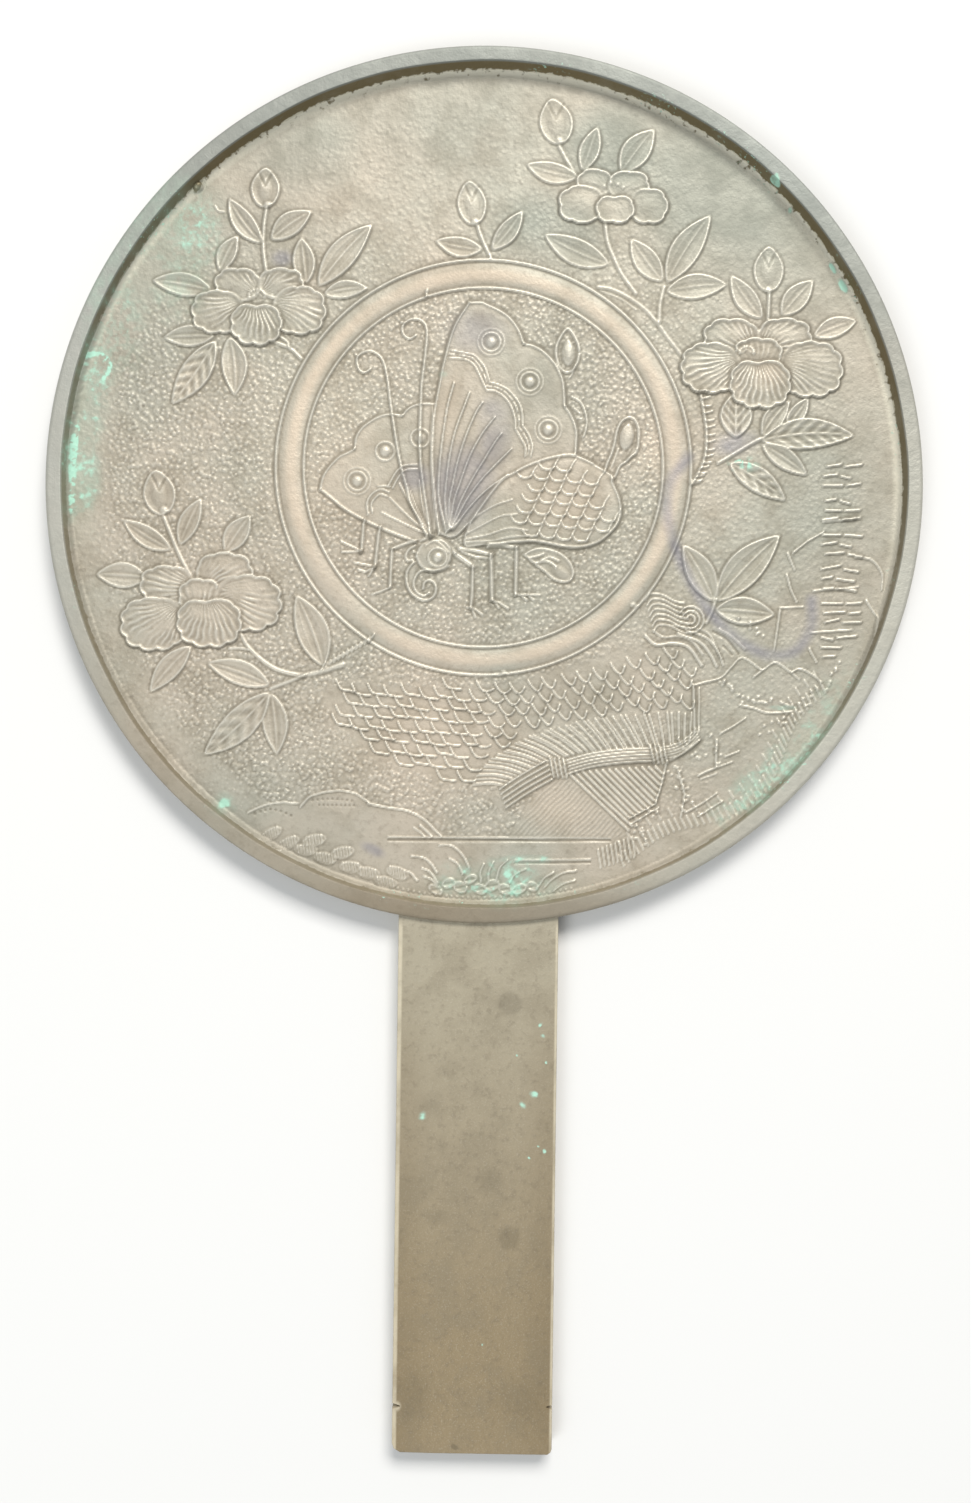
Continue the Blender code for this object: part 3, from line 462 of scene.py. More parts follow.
def make_great_wing(relief):
    """The great upright wing: its edge, three spots, a laddered border and seven veins."""
    loop = outline(GREAT_EDGE, GREAT_LOBE, GREAT_FOOT,
                   [(16.75, 5.5), (8.75, 3.4), (2.5, 0.0), (-4.5, -8.8), (-8.3, -8.8)], GREAT_BACK)
    relief.plate(loop, 0.28, edge=0.4, lip=0.08, lip_width=0.24, dish=-0.08)
    for run in (GREAT_BACK, GREAT_EDGE, GREAT_LOBE, GREAT_FOOT):
        relief.stroke(run, 0.66, 0.20)
    for spot in [(0.9, 26.6), (8.1, 19.4), (11.6, 10.6)]:
        wing_spot(relief, *spot)
    outer = [(-6.5, 25.0), (-3.25, 24.4), (-2.0, 24.0), (-0.25, 22.0), (0.6, 19.6)]
    inner = [(-6.8, 23.6), (-4.0, 23.4), (-2.2, 22.4), (-0.9, 20.0), (0.1, 17.9)]
    ladder(relief, outer, inner, 9)
    outer = [(0.7, 19.2), (2.5, 18.7), (4.25, 17.75), (6.0, 15.75), (6.75, 13.75), (6.9, 11.4)]
    inner = [(0.3, 17.7), (1.75, 17.6), (3.5, 16.5), (4.75, 14.75), (5.5, 12.5), (5.6, 10.6)]
    ladder(relief, outer, inner, 9)
    ladder(relief, [(6.9, 11.2), (8.0, 9.75), (8.75, 7.5), (8.5, 5.75)],
           [(5.7, 10.5), (6.75, 8.75), (7.5, 7.3), (7.5, 5.75)], 5)
    veins = [
        [(-6.9, -8.4), (-8.2, -3.0), (-8.4, 0.5), (-8.0, 6.75), (-7.0, 14.25), (-5.8, 19.0)],
        [(-6.6, -8.2), (-7.2, -3.0), (-7.0, 0.5), (-6.5, 5.0), (-5.5, 10.0), (-3.75, 15.0),
         (-2.9, 17.25)],
        [(-6.4, -8.0), (-6.4, -3.0), (-5.75, 0.5), (-5.0, 4.25), (-3.5, 9.25), (-1.75, 13.5),
         (-0.5, 15.5)],
        [(-6.2, -7.9), (-5.6, -3.0), (-4.5, 0.5), (-2.75, 5.5), (-0.5, 9.75), (1.75, 12.75)],
        [(-6.0, -7.8), (-4.4, -3.0), (-2.0, 1.75), (-0.5, 4.25), (1.75, 8.0), (3.0, 9.8)],
        [(-5.8, -7.8), (-3.4, -2.8), (-0.75, 1.0), (1.25, 3.25), (4.9, 7.0)],
        [(-5.6, -7.9), (-2.8, -4.0), (0.2, -0.8), (4.2, 2.3)],
    ]
    for points in veins:
        relief.stroke(points, 0.58, 0.25, (0.9, 0.75))


def make_abdomen(relief):
    """The scaled abdomen: rows of hooked scales behind a few long folds."""
    loop = smooth(ABDOMEN, closed=True)
    relief.plate(loop, 0.34, edge=0.4, lip=0.08, lip_width=0.24, dish=-0.12)
    relief.stroke(ABDOMEN[1:9], 0.6, 0.18)
    relief.stroke(ABDOMEN[9:], 0.62, 0.20)
    for points in ([(-4.9, -9.0), (-1.5, -5.6), (2.0, -3.4), (5.2, -2.3)],
                   [(-4.6, -9.4), (-0.5, -7.2), (3.0, -5.4), (6.0, -5.0)],
                   [(-4.4, -9.9), (0.5, -8.9), (4.5, -7.6), (8.0, -7.9)],
                   [(-4.2, -10.3), (1.5, -9.9), (5.0, -9.2), (8.2, -8.9)]):
        relief.stroke(points, 0.5, 0.15, (1.0, 0.6))
    for row in range(7):
        for column in range(-1, 8):
            x = 5.4 + 3.05 * column + 1.45 * (row % 2) + 0.55 * row
            y = 4.5 - 2.15 * row - 0.28 * column
            hook = np.array([(x - 1.55, y + 0.55), (x - 0.9, y - 0.35), (x + 0.1, y - 0.62),
                             (x + 1.1, y - 0.42), (x + 1.75, y + 0.9), (x + 2.3, y + 1.6)])
            if within(hook[:, 0], hook[:, 1], loop).all() and x - 1.5 > 5.2 - 0.3 * (row > 4):
                relief.stroke(hook[:4], 0.62, 0.20, (0.6, 1.0))
                relief.stroke(hook[3:], 0.5, 0.15, (1.0, 0.5))


def make_head(relief):
    """The head with its eye, the mouth, and the coiled tongue below."""
    relief.plate(egg((-9.1, -12.7), 3.3, 3.0, 20.0), 0.32, lip=0.06, dish=-0.14)
    brow = [(-11.8, -10.6), (-10.6, -9.6), (-9.0, -9.2), (-7.2, -10.0), (-5.9, -11.3),
            (-5.2, -12.2)]
    relief.stroke(brow, 0.8, 0.20)
    relief.stroke([(-10.6, -10.9), (-9.0, -10.1), (-7.6, -10.9), (-6.4, -12.2)], 0.5, 0.12)
    relief.knob((-8.4, -13.1), 0.95, 0.95, 0.34, power=0.7)
    relief.circle((-8.4, -13.1), 1.7, 0.45, 0.16)
    mouth = [(-12.6, -11.0), (-13.6, -11.6), (-14.2, -12.6), (-14.0, -13.7), (-13.0, -13.6)]
    relief.stroke(mouth, 0.6, 0.24)
    relief.stroke([(-12.9, -12.0), (-12.3, -12.4), (-12.5, -13.1)], 0.5, 0.18)
    trunk = [(-12.75, -14.0), (-13.9, -15.5), (-14.1, -17.5), (-13.4, -19.4), (-12.0, -20.6),
             (-10.5, -21.0), (-9.1, -20.3), (-8.6, -18.9), (-9.1, -17.6), (-10.1, -17.3),
             (-10.8, -17.8), (-11.0, -18.8)]
    relief.stroke(trunk, 0.62, 0.30)
    relief.stroke([(-6.4, -14.6), (-7.4, -15.3), (-9.0, -15.6), (-11.2, -15.5), (-12.3, -16.5),
                   (-12.7, -18.2), (-12.0, -19.6), (-10.8, -20.1), (-9.9, -19.6)], 0.55, 0.26)
    fill = [(-12.9, -14.6), (-13.2, -16.5), (-13.3, -18.4), (-12.2, -20.0), (-10.6, -20.5)]
    relief.stroke(fill, 1.5, 0.16, (1.0, 0.6))


def make_limbs(relief):
    """The two curled feelers, the jointed legs with their claws, and the loop at the tail."""
    feelers = [
        [(-10.5, -9.0), (-12.0, -6.0), (-13.5, -3.0), (-14.5, 0.5), (-15.5, 4.25), (-16.25, 8.0),
         (-17.0, 12.5), (-17.5, 15.5), (-18.0, 19.25), (-18.75, 22.5), (-19.75, 24.0),
         (-21.25, 24.75), (-22.75, 24.4), (-23.6, 23.6), (-23.7, 22.5), (-23.25, 21.25),
         (-22.25, 20.8), (-21.25, 21.4)],
        [(-9.7, -8.75), (-10.75, -3.0), (-11.5, 2.0), (-11.75, 4.25), (-11.95, 8.0), (-11.9, 13.0),
         (-11.8, 18.0), (-11.4, 22.0), (-11.0, 26.0), (-10.9, 28.0), (-11.25, 29.75),
         (-12.5, 30.7), (-14.0, 30.6), (-15.1, 29.8), (-15.5, 28.75), (-15.0, 27.6),
         (-14.0, 27.1), (-12.9, 27.75)],
    ]
    relief.strength = 1.02
    for points in feelers:
        relief.stroke(points, 0.68, 0.30, (1.0, 0.85))
    relief.stroke([(-23.5, 23.6), (-24.0, 24.1)], 0.5, 0.24)
    relief.stroke([(-15.0, 29.9), (-15.7, 30.1)], 0.5, 0.24)
    legs = [
        ([(-21.9, -6.4), (-22.1, -7.2), (-22.4, -12.1)], 0.62),
        ([(-22.4, -12.1), (-26.3, -10.3)], 0.42),
        ([(-22.4, -12.1), (-26.0, -12.3)], 0.42),
        ([(-19.0, -7.6), (-19.3, -8.9), (-19.9, -14.9)], 0.66),
        ([(-19.9, -14.9), (-23.7, -14.2)], 0.45),
        ([(-19.9, -14.9), (-21.6, -15.9), (-23.0, -15.5)], 0.4),
        ([(-19.9, -14.9), (-21.0, -16.6)], 0.35),
        ([(-12.6, -10.2), (-13.8, -10.4), (-16.8, -11.6)], 0.72),
        ([(-16.8, -11.6), (-17.1, -18.7)], 0.62),
        ([(-17.1, -18.7), (-18.6, -19.4), (-20.3, -20.0)], 0.42),
        ([(-5.4, -12.2), (-1.8, -14.7)], 1.0),
        ([(-1.9, -14.6), (-2.0, -20.0), (-2.2, -22.2)], 0.62),
        ([(-2.9, -22.2), (-1.4, -22.5), (0.0, -23.5)], 0.4),
        ([(-2.0, -22.4), (-1.3, -24.0)], 0.36),
        ([(-4.4, -11.4), (-1.6, -11.7), (1.4, -12.4)], 0.85),
        ([(-4.0, -12.0), (-1.4, -12.9), (1.2, -13.1)], 0.5),
        ([(1.4, -12.4), (1.7, -20.8)], 0.78),
        ([(1.5, -20.8), (3.0, -21.2), (4.7, -22.3)], 0.4),
        ([(2.0, -20.9), (3.0, -22.2)], 0.36),
        ([(0.8, -10.9), (3.4, -10.7), (6.1, -11.0)], 0.8),
        ([(6.1, -11.0), (6.0, -19.7)], 0.72),
        ([(5.9, -19.8), (8.0, -19.7), (10.5, -19.8)], 0.4),
        ([(7.0, -19.8), (8.1, -20.7)], 0.36),
        ([(8.3, -19.8), (9.4, -20.7)], 0.36),
    ]
    for points, width in legs:
        relief.stroke(points, max(1.12 * width, 0.55), 0.30 if width > 0.5 else 0.22, curved=False)
    tail = [(22.1, 3.1), (22.6, 4.75), (23.25, 6.25), (23.9, 8.5), (24.25, 10.5), (25.0, 12.25),
            (26.25, 13.1), (27.5, 12.75), (28.25, 11.0), (28.25, 8.75), (27.9, 6.75), (27.0, 6.0),
            (26.0, 5.0), (24.9, 4.2), (24.2, 2.6), (23.6, 1.6)]
    relief.stroke(tail, 0.62, 0.26)
    relief.plate(egg((26.1, 9.6), 1.25, 2.4, -8.0, 0.2), 0.30, edge=0.5)
    relief.knob((26.1, 9.4), 0.9, 1.9, 0.16, -8.0)
    relief.stroke([(27.7, 7.3), (27.1, 6.3), (26.4, 5.5)], 0.8, 0.15)
    relief.stroke([(24.6, 7.4), (23.4, 4.0)], 0.5, 0.12)
    relief.strength = 1.0


def make_ring_filling(relief):
    """The small forms about the butterfly: a bud, a hook, a leaf, and casting marks on the ring."""
    relief.stroke(egg((15.0, 25.3), 2.15, 4.0, 0.0, 0.45), 0.62, 0.24)
    relief.plate(egg((15.15, 24.9), 1.15, 2.3, 0.0, 0.35), 0.26, edge=0.6)
    relief.knob((15.2, 24.9), 0.8, 1.7, 0.18)
    relief.stroke([(16.4, 22.6), (15.9, 21.0), (15.3, 20.2)], 0.4, 0.16)
    hook = [(15.9, 16.8), (17.5, 15.8), (18.4, 13.9), (18.7, 12.2), (18.5, 10.6), (18.1, 9.4)]
    relief.stroke(hook, 0.5, 0.22)
    relief.stroke([(16.4, 14.6), (17.4, 13.8)], 0.4, 0.16)
    relief.stroke([(16.9, 12.9), (17.7, 12.8)], 0.4, 0.16)
    loop = outline([(7.2, -12.3), (9.0, -11.3), (11.0, -11.0), (14.0, -11.8), (16.0, -13.5),
                    (16.8, -15.6), (16.3, -17.1)],
                   [(16.3, -17.1), (15.0, -17.5), (13.0, -17.0), (11.3, -15.6), (9.3, -14.1),
                    (7.2, -12.3)])
    relief.plate(loop, 0.14, lip=0.18, lip_width=0.24)
    relief.knob((14.2, -15.4), 2.1, 1.1, 0.22, -35.0)
    relief.stroke([(8.6, -12.9), (9.9, -12.6), (11.0, -12.2)], 0.6, 0.16)
    relief.stroke([(9.6, -13.9), (11.4, -13.5), (12.6, -13.9), (13.4, -14.6)], 0.6, 0.18)
    relief.stroke([(10.6, -13.3), (12.2, -12.8), (13.8, -13.4)], 0.5, 0.14)
    relief.stroke([(-11.1, 34.6), (-11.0, 36.0)], 0.6, 0.26)
    relief.knob((4.0, -34.0), 0.7, 0.5, 0.2)
    relief.knob((27.8, -21.4), 0.8, 0.6, 0.22)


def spray_upper_left(relief):
    """The flower at the upper left, its leaves and its bud."""
    heart = (-42.4, 34.6)
    relief.stroke([(-40.7, 51.0), (-41.2, 47.0), (-41.2, 43.0), (-40.6, 39.0)], 0.8, 0.24)
    relief.stroke([(-39.4, 26.4), (-36.0, 25.0), (-34.0, 23.2)], 0.8, 0.24)
    relief.stroke([(-38.2, 27.4), (-36.6, 26.2), (-36.2, 25.2)], 0.6, 0.2)
    for row in [(-41.5, 44.3, -47.7, 52.5, 2.0, 0.05), (-39.8, 45.0, -32.4, 50.3, 2.2, 0.04),
                (-49.2, 39.0, -46.0, 45.6, 1.8, 0.04), (-50.6, 35.5, -61.6, 37.2, 2.2, -0.02),
                (-33.2, 37.0, -34.3, 45.4, 2.1, 0.0), (-31.0, 36.6, -21.3, 48.0, 2.6, 0.03),
                (-30.0, 35.0, -21.9, 36.3, 1.7, 0.05), (-50.0, 27.1, -59.4, 26.7, 2.0, -0.02),
                (-47.2, 27.0, -46.1, 16.2, 2.4, 0.04)]:
        leaf(relief, *row)
    leaf(relief, -49.8, 26.2, -57.7, 14.5, 2.7, 0.02, veins=6)
    for low_x, high_x, low_y, high_y, level, lobes in [
            (-50.2, -41.6, 33.4, 39.8, 0.27, 7), (-42.0, -33.6, 34.0, 39.9, 0.25, 7),
            (-54.4, -44.6, 27.5, 35.6, 0.33, 9), (-39.4, -29.4, 27.5, 36.6, 0.34, 9)]:
        petal(relief, low_x, high_x, low_y, high_y, heart, level, lobes)
    stamens(relief, -42.3, 34.6, 2.0)
    petal(relief, -47.1, -37.5, 25.4, 33.4, (-42.3, 34.2), 0.40, lobes=9, front=True)
    bud(relief, -41.0, 54.5, 2.7, 3.7, 0.0, (-40.5, 51.4))
    relief.stroke([(-50.2, 51.0), (-49.6, 50.2), (-48.6, 50.0)], 0.45, 0.14)


def spray_top(relief):
    """The small bud and two leaves above the ring, a little worn."""
    relief.strength = 0.85
    relief.stroke([(-1.9, 48.2), (-1.4, 46.6), (-0.5, 44.5), (0.6, 42.3)], 0.8, 0.24)
    leaf(relief, -0.9, 43.7, -9.6, 45.2, 1.9, 0.04)
    leaf(relief, 0.8, 43.6, 6.4, 50.9, 1.8, -0.03)
    bud(relief, -3.0, 52.2, 2.7, 4.1, 8.0, (-2.3, 48.8))
    relief.strength = 1.0


def spray_upper_right(relief):
    """The worn flower at the upper right, with its long branch."""
    heart = (23.0, 54.2)
    relief.strength = 0.66
    relief.stroke([(13.0, 62.8), (14.0, 61.0), (15.5, 58.5), (16.8, 56.4)], 0.8, 0.24)
    relief.stroke([(21.6, 48.8), (22.1, 45.5), (23.3, 42.5), (24.8, 39.5), (27.4, 36.0)], 0.9, 0.26)
    branch = [(20.5, 37.1), (23.0, 36.7), (26.0, 35.3), (29.0, 33.2), (31.5, 30.5), (33.5, 27.8),
              (36.2, 24.5)]
    relief.stroke(branch, 1.15, 0.28, (0.7, 0.8))
    relief.stroke([(31.8, 30.8), (31.9, 34.0), (32.6, 37.2)], 0.9, 0.25)
    relief.stroke([(21.0, 36.3), (24.5, 35.0), (27.5, 33.0)], 0.45, 0.14)
    for row in [(16.4, 57.2, 6.9, 59.5, 2.0, 0.04), (17.3, 58.4, 20.0, 66.5, 1.9, 0.0),
                (24.4, 58.2, 30.4, 66.2, 2.6, 0.02), (22.4, 41.2, 10.4, 46.6, 2.5, 0.03),
                (32.3, 38.2, 26.4, 46.0, 2.3, 0.02), (33.1, 38.0, 41.0, 50.5, 2.7, 0.03),
                (33.0, 36.4, 44.2, 37.8, 2.4, 0.03)]:
        leaf(relief, *row)
    for low_x, high_x, low_y, high_y, level, lobes in [
            (16.2, 22.8, 53.6, 58.9, 0.30, 5), (22.0, 29.8, 53.0, 58.6, 0.32, 5),
            (12.9, 21.4, 48.7, 55.8, 0.38, 6), (26.0, 33.2, 48.7, 55.4, 0.38, 6)]:
        petal(relief, low_x, high_x, low_y, high_y, heart, level, lobes, stripes=0.015)
    petal(relief, 19.8, 27.0, 48.7, 54.1, (23.2, 55.0), 0.46, lobes=6, stripes=0.015,
          front=True)
    for x, y in [(21.4, 55.6), (22.6, 56.2), (23.8, 56.0), (24.8, 55.4)]:
        relief.knob((x, y), 0.45, 0.45, 0.16)
    bud(relief, 12.3, 67.4, 3.1, 4.3, 12.0, (13.0, 64.0))
    relief.strength = 1.0


def spray_right(relief):
    """The flower at the right, its leaves, and the bristled stem beside the ring."""
    heart = (49.2, 25.4)
    relief.stroke([(52.0, 36.7), (51.9, 34.0), (51.8, 31.2)], 0.8, 0.24)
    relief.stroke([(43.0, 5.0), (46.0, 6.8), (50.0, 9.2), (53.0, 10.2)], 0.9, 0.24)
    leaf(relief, 46.2, 9.6, 46.1, 18.2, 3.0, 0.0, veins=5)
    leaf(relief, 51.0, 10.0, 56.0, 16.6, 1.9, 0.04)
    leaf(relief, 55.4, 11.8, 59.4, 17.2, 1.5, -0.03)
    relief.strength = 0.7
    for row in [(50.7, 31.6, 44.9, 39.5, 2.1, 0.03), (54.3, 32.2, 60.0, 38.8, 2.2, 0.02),
                (60.3, 28.5, 68.2, 31.5, 1.9, 0.03)]:
        leaf(relief, *row)
    relief.strength = 1.0
    leaf(relief, 50.8, 9.2, 68.0, 10.3, 2.9, 0.05, veins=7)
    leaf(relief, 51.0, 8.5, 59.4, 2.9, 1.9, 0.02)
    leaf(relief, 45.0, 5.0, 55.5, -1.8, 2.3, 0.03, veins=5)
    petal(relief, 39.8, 50.3, 24.4, 31.7, heart, 0.25, lobes=8)
    petal(relief, 49.9, 60.0, 24.4, 31.9, heart, 0.25, lobes=8)
    petal(relief, 45.6, 54.6, 22.6, 28.2, (50.0, 22.0), 0.25, lobes=8, stripes=0.04)
    petal(relief, 35.7, 46.8, 17.7, 27.2, heart, 0.33, lobes=11)
    petal(relief, 54.0, 65.8, 17.2, 27.7, heart, 0.30, lobes=11)
    stamens(relief, 48.0, 25.4, 1.8)
    petal(relief, 44.8, 56.2, 15.0, 24.3, (50.0, 25.6), 0.40, lobes=11, front=True)
    relief.strength = 0.7
    bud(relief, 51.8, 40.7, 2.8, 4.2, 0.0, (51.8, 37.0))
    relief.strength = 1.0
    stem = [(39.5, 18.0), (40.3, 14.0), (40.8, 10.0), (40.5, 6.0), (39.3, 3.0), (38.2, 1.0)]
    relief.stroke(stem, 0.7, 0.22)
    for index, (x, y) in enumerate(smooth(stem)[::2]):
        lean = 0.5 if index % 2 else 0.2
        relief.stroke([(x - 0.2, y), (x + 1.5, y + lean)], 0.5, 0.2)


def sprig(relief):
    """Three leaves on a short stalk, right of the ring's foot."""
    leaf(relief, 42.5, -20.5, 36.7, -10.2, 2.6, -0.03)
    leaf(relief, 43.0, -20.5, 54.5, -8.2, 3.2, 0.03)
    leaf(relief, 42.8, -22.0, 53.8, -22.8, 2.6, 0.02)
    relief.stroke([(42.8, -20.2), (42.2, -22.4), (41.2, -24.4)], 0.8, 0.22)


def spray_lower_left(relief):
    """The flower at the lower left, and the branch that runs towards the scales."""
    heart = (-52.0, -19.4)
    relief.stroke([(-59.0, -6.0), (-57.5, -9.5), (-56.0, -13.0), (-53.9, -17.0)], 0.85, 0.25)
    for row in [(-57.4, -12.3, -66.4, -6.9, 1.9, 0.03), (-55.9, -11.4, -52.1, -2.8, 1.9, 0.02),
                (-47.5, -12.6, -43.0, -5.8, 2.2, 0.02), (-61.9, -17.5, -71.2, -17.0, 2.4, -0.02),
                (-53.6, -30.0, -61.0, -38.5, 2.1, -0.03), (-29.1, -33.4, -34.3, -20.4, 3.0, -0.03),
                (-38.7, -38.5, -37.5, -49.7, 2.4, 0.02)]:
        leaf(relief, *row)
    petal(relief, -63.2, -53.2, -22.6, -15.1, heart, 0.26, lobes=8)
    petal(relief, -52.8, -42.2, -20.6, -12.5, heart, 0.26, lobes=8)
    petal(relief, -56.0, -48.0, -24.0, -17.4, (-52.0, -24.6), 0.27, lobes=7)
    petal(relief, -66.7, -54.4, -31.0, -21.0, heart, 0.33, lobes=11)
    petal(relief, -49.4, -36.8, -27.2, -16.6, heart, 0.33, lobes=11)
    petal(relief, -56.3, -44.2, -30.3, -20.9, (-51.0, -20.0), 0.40, lobes=11, front=True)
    bud(relief, -59.8, -1.8, 3.0, 4.2, 12.0, (-58.9, -5.0))
    relief.stroke([(-44.5, -27.5), (-43.0, -30.0), (-40.0, -32.7), (-37.0, -34.3), (-33.0, -35.0),
                   (-29.5, -34.3), (-25.6, -33.0)], 0.95, 0.28, (0.8, 1.3))
    relief.stroke([(-46.5, -30.3), (-44.6, -30.2), (-43.0, -30.5)], 0.5, 0.18)
    relief.stroke([(-32.6, -35.1), (-38.8, -37.6)], 0.8, 0.24)
    leaf(relief, -39.0, -37.0, -50.6, -33.0, 2.3, -0.03)
    leaf(relief, -39.0, -38.3, -50.9, -49.9, 2.9, 0.03, veins=5)
    for index in range(12):
        x = -29.6 + 0.8 * index
        y = -33.6 + 0.48 * index
        relief.stroke([(x, y - 0.4), (x + 0.9, y + 0.9)], 0.5, 0.2)


# The fan's two edges, from its left end to its right, and the line where the scales end.
FAN_OUTER = [(-1.2, -54.9), (-0.4, -52.8), (1.2, -50.8), (3.4, -49.2), (6.0, -47.4), (9.0, -45.8),
             (13.0, -44.6), (17.0, -43.5), (21.0, -42.5), (25.0, -42.0), (30.0, -41.5),
             (35.0, -41.2), (38.7, -41.2)]
FAN_INNER = [(4.4, -55.0), (5.8, -53.4), (7.8, -52.2), (10.4, -51.0), (12.8, -50.2), (15.6, -49.4),
             (18.6, -48.6), (21.6, -48.1), (25.0, -47.7), (28.6, -47.4), (32.0, -47.1),
             (35.4, -46.8), (38.4, -46.3)]
HEM = [(-27.0, -44.5), (-25.0, -46.0), (-18.0, -51.0), (-5.0, -55.2), (-1.2, -54.9)] + FAN_OUTER[2:]


def line_at(points, x):
    """The height of a drawn line at x."""
    xs, ys = zip(*points)
    return float(np.interp(x, xs, ys))


def make_scales(relief):
    """Rows of hooked scales: a slanted net at the left that opens into separate hooks."""
    top = [(-30.0, -37.5), (-24.0, -36.2), (-10.0, -36.8), (0.0, -36.6), (10.0, -34.6),
           (16.0, -32.6), (22.0, -30.4), (28.0, -29.0), (33.0, -29.6), (38.0, -31.5)]
    field = np.array(top + [(38.8, -40.0)] + HEM[::-1], float)
    here = relief.near(field, 2.0)
    d, _, _ = nearest(relief.x[here], relief.y[here], np.vstack([field, field[:1]]))
    depth = np.where(within(relief.x[here], relief.y[here], field), d, -d)
    relief.cover[here] = np.maximum(relief.cover[here], 0.80 * smoothstep(depth / 2.0 + 0.3))
    tick = np.array([(-1.55, 1.55), (-1.0, 0.45), (-0.45, -0.15), (0.8, -0.36), (1.9, -0.5)])
    cup = np.array([(-1.4, 1.15), (-0.7, 0.1), (0.2, -0.7), (0.8, -0.5), (1.15, 0.55)])
    for row in range(14):
        for column in range(24):
            x = -27.5 + 3.1 * column + 1.55 * (row % 2) + 0.35 * row
            lift = 10.5 * max((x - 4.0) / 36.0, 0.0) ** 1.5
            y = -35.6 - 2.1 * row + lift - 0.05 * (x + 26.0)
            jitter = draw(row, column, 11)
            x += 0.9 * (jitter - 0.5)
            y += 0.7 * (draw(column, row, 12) - 0.5)
            between = line_at(HEM, x) + 0.9 <= y <= line_at(top, x) and -26.5 <= x <= 38.6
            if not between or ring_distance(x, y) <= 40.4:
                continue
            open_ = min(max((x + 6.0) / 16.0, 0.0), 1.0)
            hook = tick * (1 - open_) + cup * open_ + (x, y)
            relief.stroke(hook, 0.54, (0.34 - 0.04 * open_) * (0.7 + 0.5 * jitter), (0.5, 0.9))


def make_fan(relief):
    """The fan: slanted ribs between its two edges, and the two lines at its right end."""
    outer = smooth(FAN_OUTER)
    inner = smooth(FAN_INNER)
    ribs = 44
    for rib in range(ribs):
        share = rib / (ribs - 1)
        a = outer[min(int(share * (len(outer) - 1)), len(outer) - 1)]
        b = inner[min(int(share * (len(inner) - 1)), len(inner) - 1)]
        jitter = 0.7 * draw(rib, 3, 5) - 0.2
        a = a + (a - b) * 0.1 * jitter
        bow = (a + b) / 2 + np.array([0.25, 0.35]) * (1.0 - share)
        relief.stroke([b, bow, a], 0.48, 0.17 + 0.05 * share, (1.0, 0.7))
    relief.stroke([(38.9, -35.8), (39.1, -38.5), (39.2, -42.0), (39.2, -44.8)], 0.5, 0.28)
    relief.stroke([(40.0, -36.4), (40.1, -39.5), (40.0, -42.0), (40.1, -44.6)], 0.4, 0.16)


def make_bundle(relief):
    """The bound bundle, its two wrapped bindings, the ribbed panel and the grained one below."""
    loop = outline([(5.4, -64.4), (8.0, -60.5), (11.0, -55.6), (14.2, -53.4)],
                   [(14.2, -53.4), (16.2, -53.2), (18.0, -54.6)],
                   [(18.0, -54.6), (27.2, -63.6), (27.2, -64.4)], [(27.2, -64.4), (5.4, -64.4)])

    def grain(x, y, inner):
        across = (x - y) * 0.7071
        wander = 0.10 * np.sin(0.8 * (x + y))
        return 0.035 * np.cos(2 * math.pi * (across + wander) / 0.76) * smoothstep(inner / 0.6)

    relief.plate(loop, 0.05, edge=0.7, crevice=0.0, form=grain)
    panel = np.array([(17.6, -52.6), (34.0, -50.2), (33.2, -54.0), (32.2, -57.6), (27.6, -60.8),
                      (26.6, -61.2)], float)
    relief.plate(panel, 0.02, edge=0.6, crevice=0.0)
    ribs = 13
    for rib in range(ribs):
        share = (rib + 0.5) / ribs
        start = np.array([18.2, -52.2]) * (1 - share) + np.array([34.0, -50.9]) * share
        end = start + np.array([12.4, -12.0])
        path = start + np.outer(np.arange(60) / 59, end - start)
        below = path[:, 1] < -57.4 - (32.4 - path[:, 0]) * 0.62
        beyond = path[:, 0] > 34.1 + (path[:, 1] + 50.2) * 0.26
        out = below | beyond
        stop = int(np.argmax(out)) if out.any() else 59
        if stop > 3:
            relief.stroke([start, path[stop]], 0.56, 0.22)
    relief.stroke([(16.3, -52.5), (21.5, -57.3), (27.4, -62.8)], 0.58, 0.25, curved=False)
    relief.stroke([(17.4, -52.2), (22.4, -57.0), (28.0, -62.0)], 0.55, 0.26, curved=False)
    for points, width, height in (([(34.2, -50.1), (33.4, -54.0), (32.3, -57.6)], 0.5, 0.30),
                                  ([(32.4, -57.8), (30.0, -59.2), (27.5, -60.6)], 0.45, 0.24),
                                  ([(32.8, -58.6), (30.4, -60.0), (28.0, -61.5)], 0.45, 0.22)):
        relief.stroke(points, width, height)
    left = [(4.2, -57.2), (8.0, -54.6), (12.6, -51.9)]
    middle = [(16.2, -51.2), (20.0, -50.1), (24.0, -49.4), (28.0, -49.0), (31.6, -48.8)]
    right = [(33.6, -48.5), (36.0, -47.9), (38.2, -46.6), (39.8, -45.0)]
    for run, half in ((left, 1.9), (middle, 1.35), (right, 1.2)):
        relief.stroke(run, 2 * half + 0.3, 0.22)
        path = np.array(run, float)
        for strand in range(5):
            shift = (strand - 2) / 2 * (half - 0.2)
            relief.stroke(path + (-0.35 * shift, shift), 0.5, 0.22)
    for x, y in ((14.3, -51.5), (32.7, -48.7)):
        relief.knob((x, y), 1.9, 1.9, 0.20)
        for turn in range(4):
            mid = x - 1.2 + 0.8 * turn
            relief.stroke([(mid - 0.35, y + 1.7), (mid, y), (mid + 0.45, y - 1.7)], 0.5, 0.30)


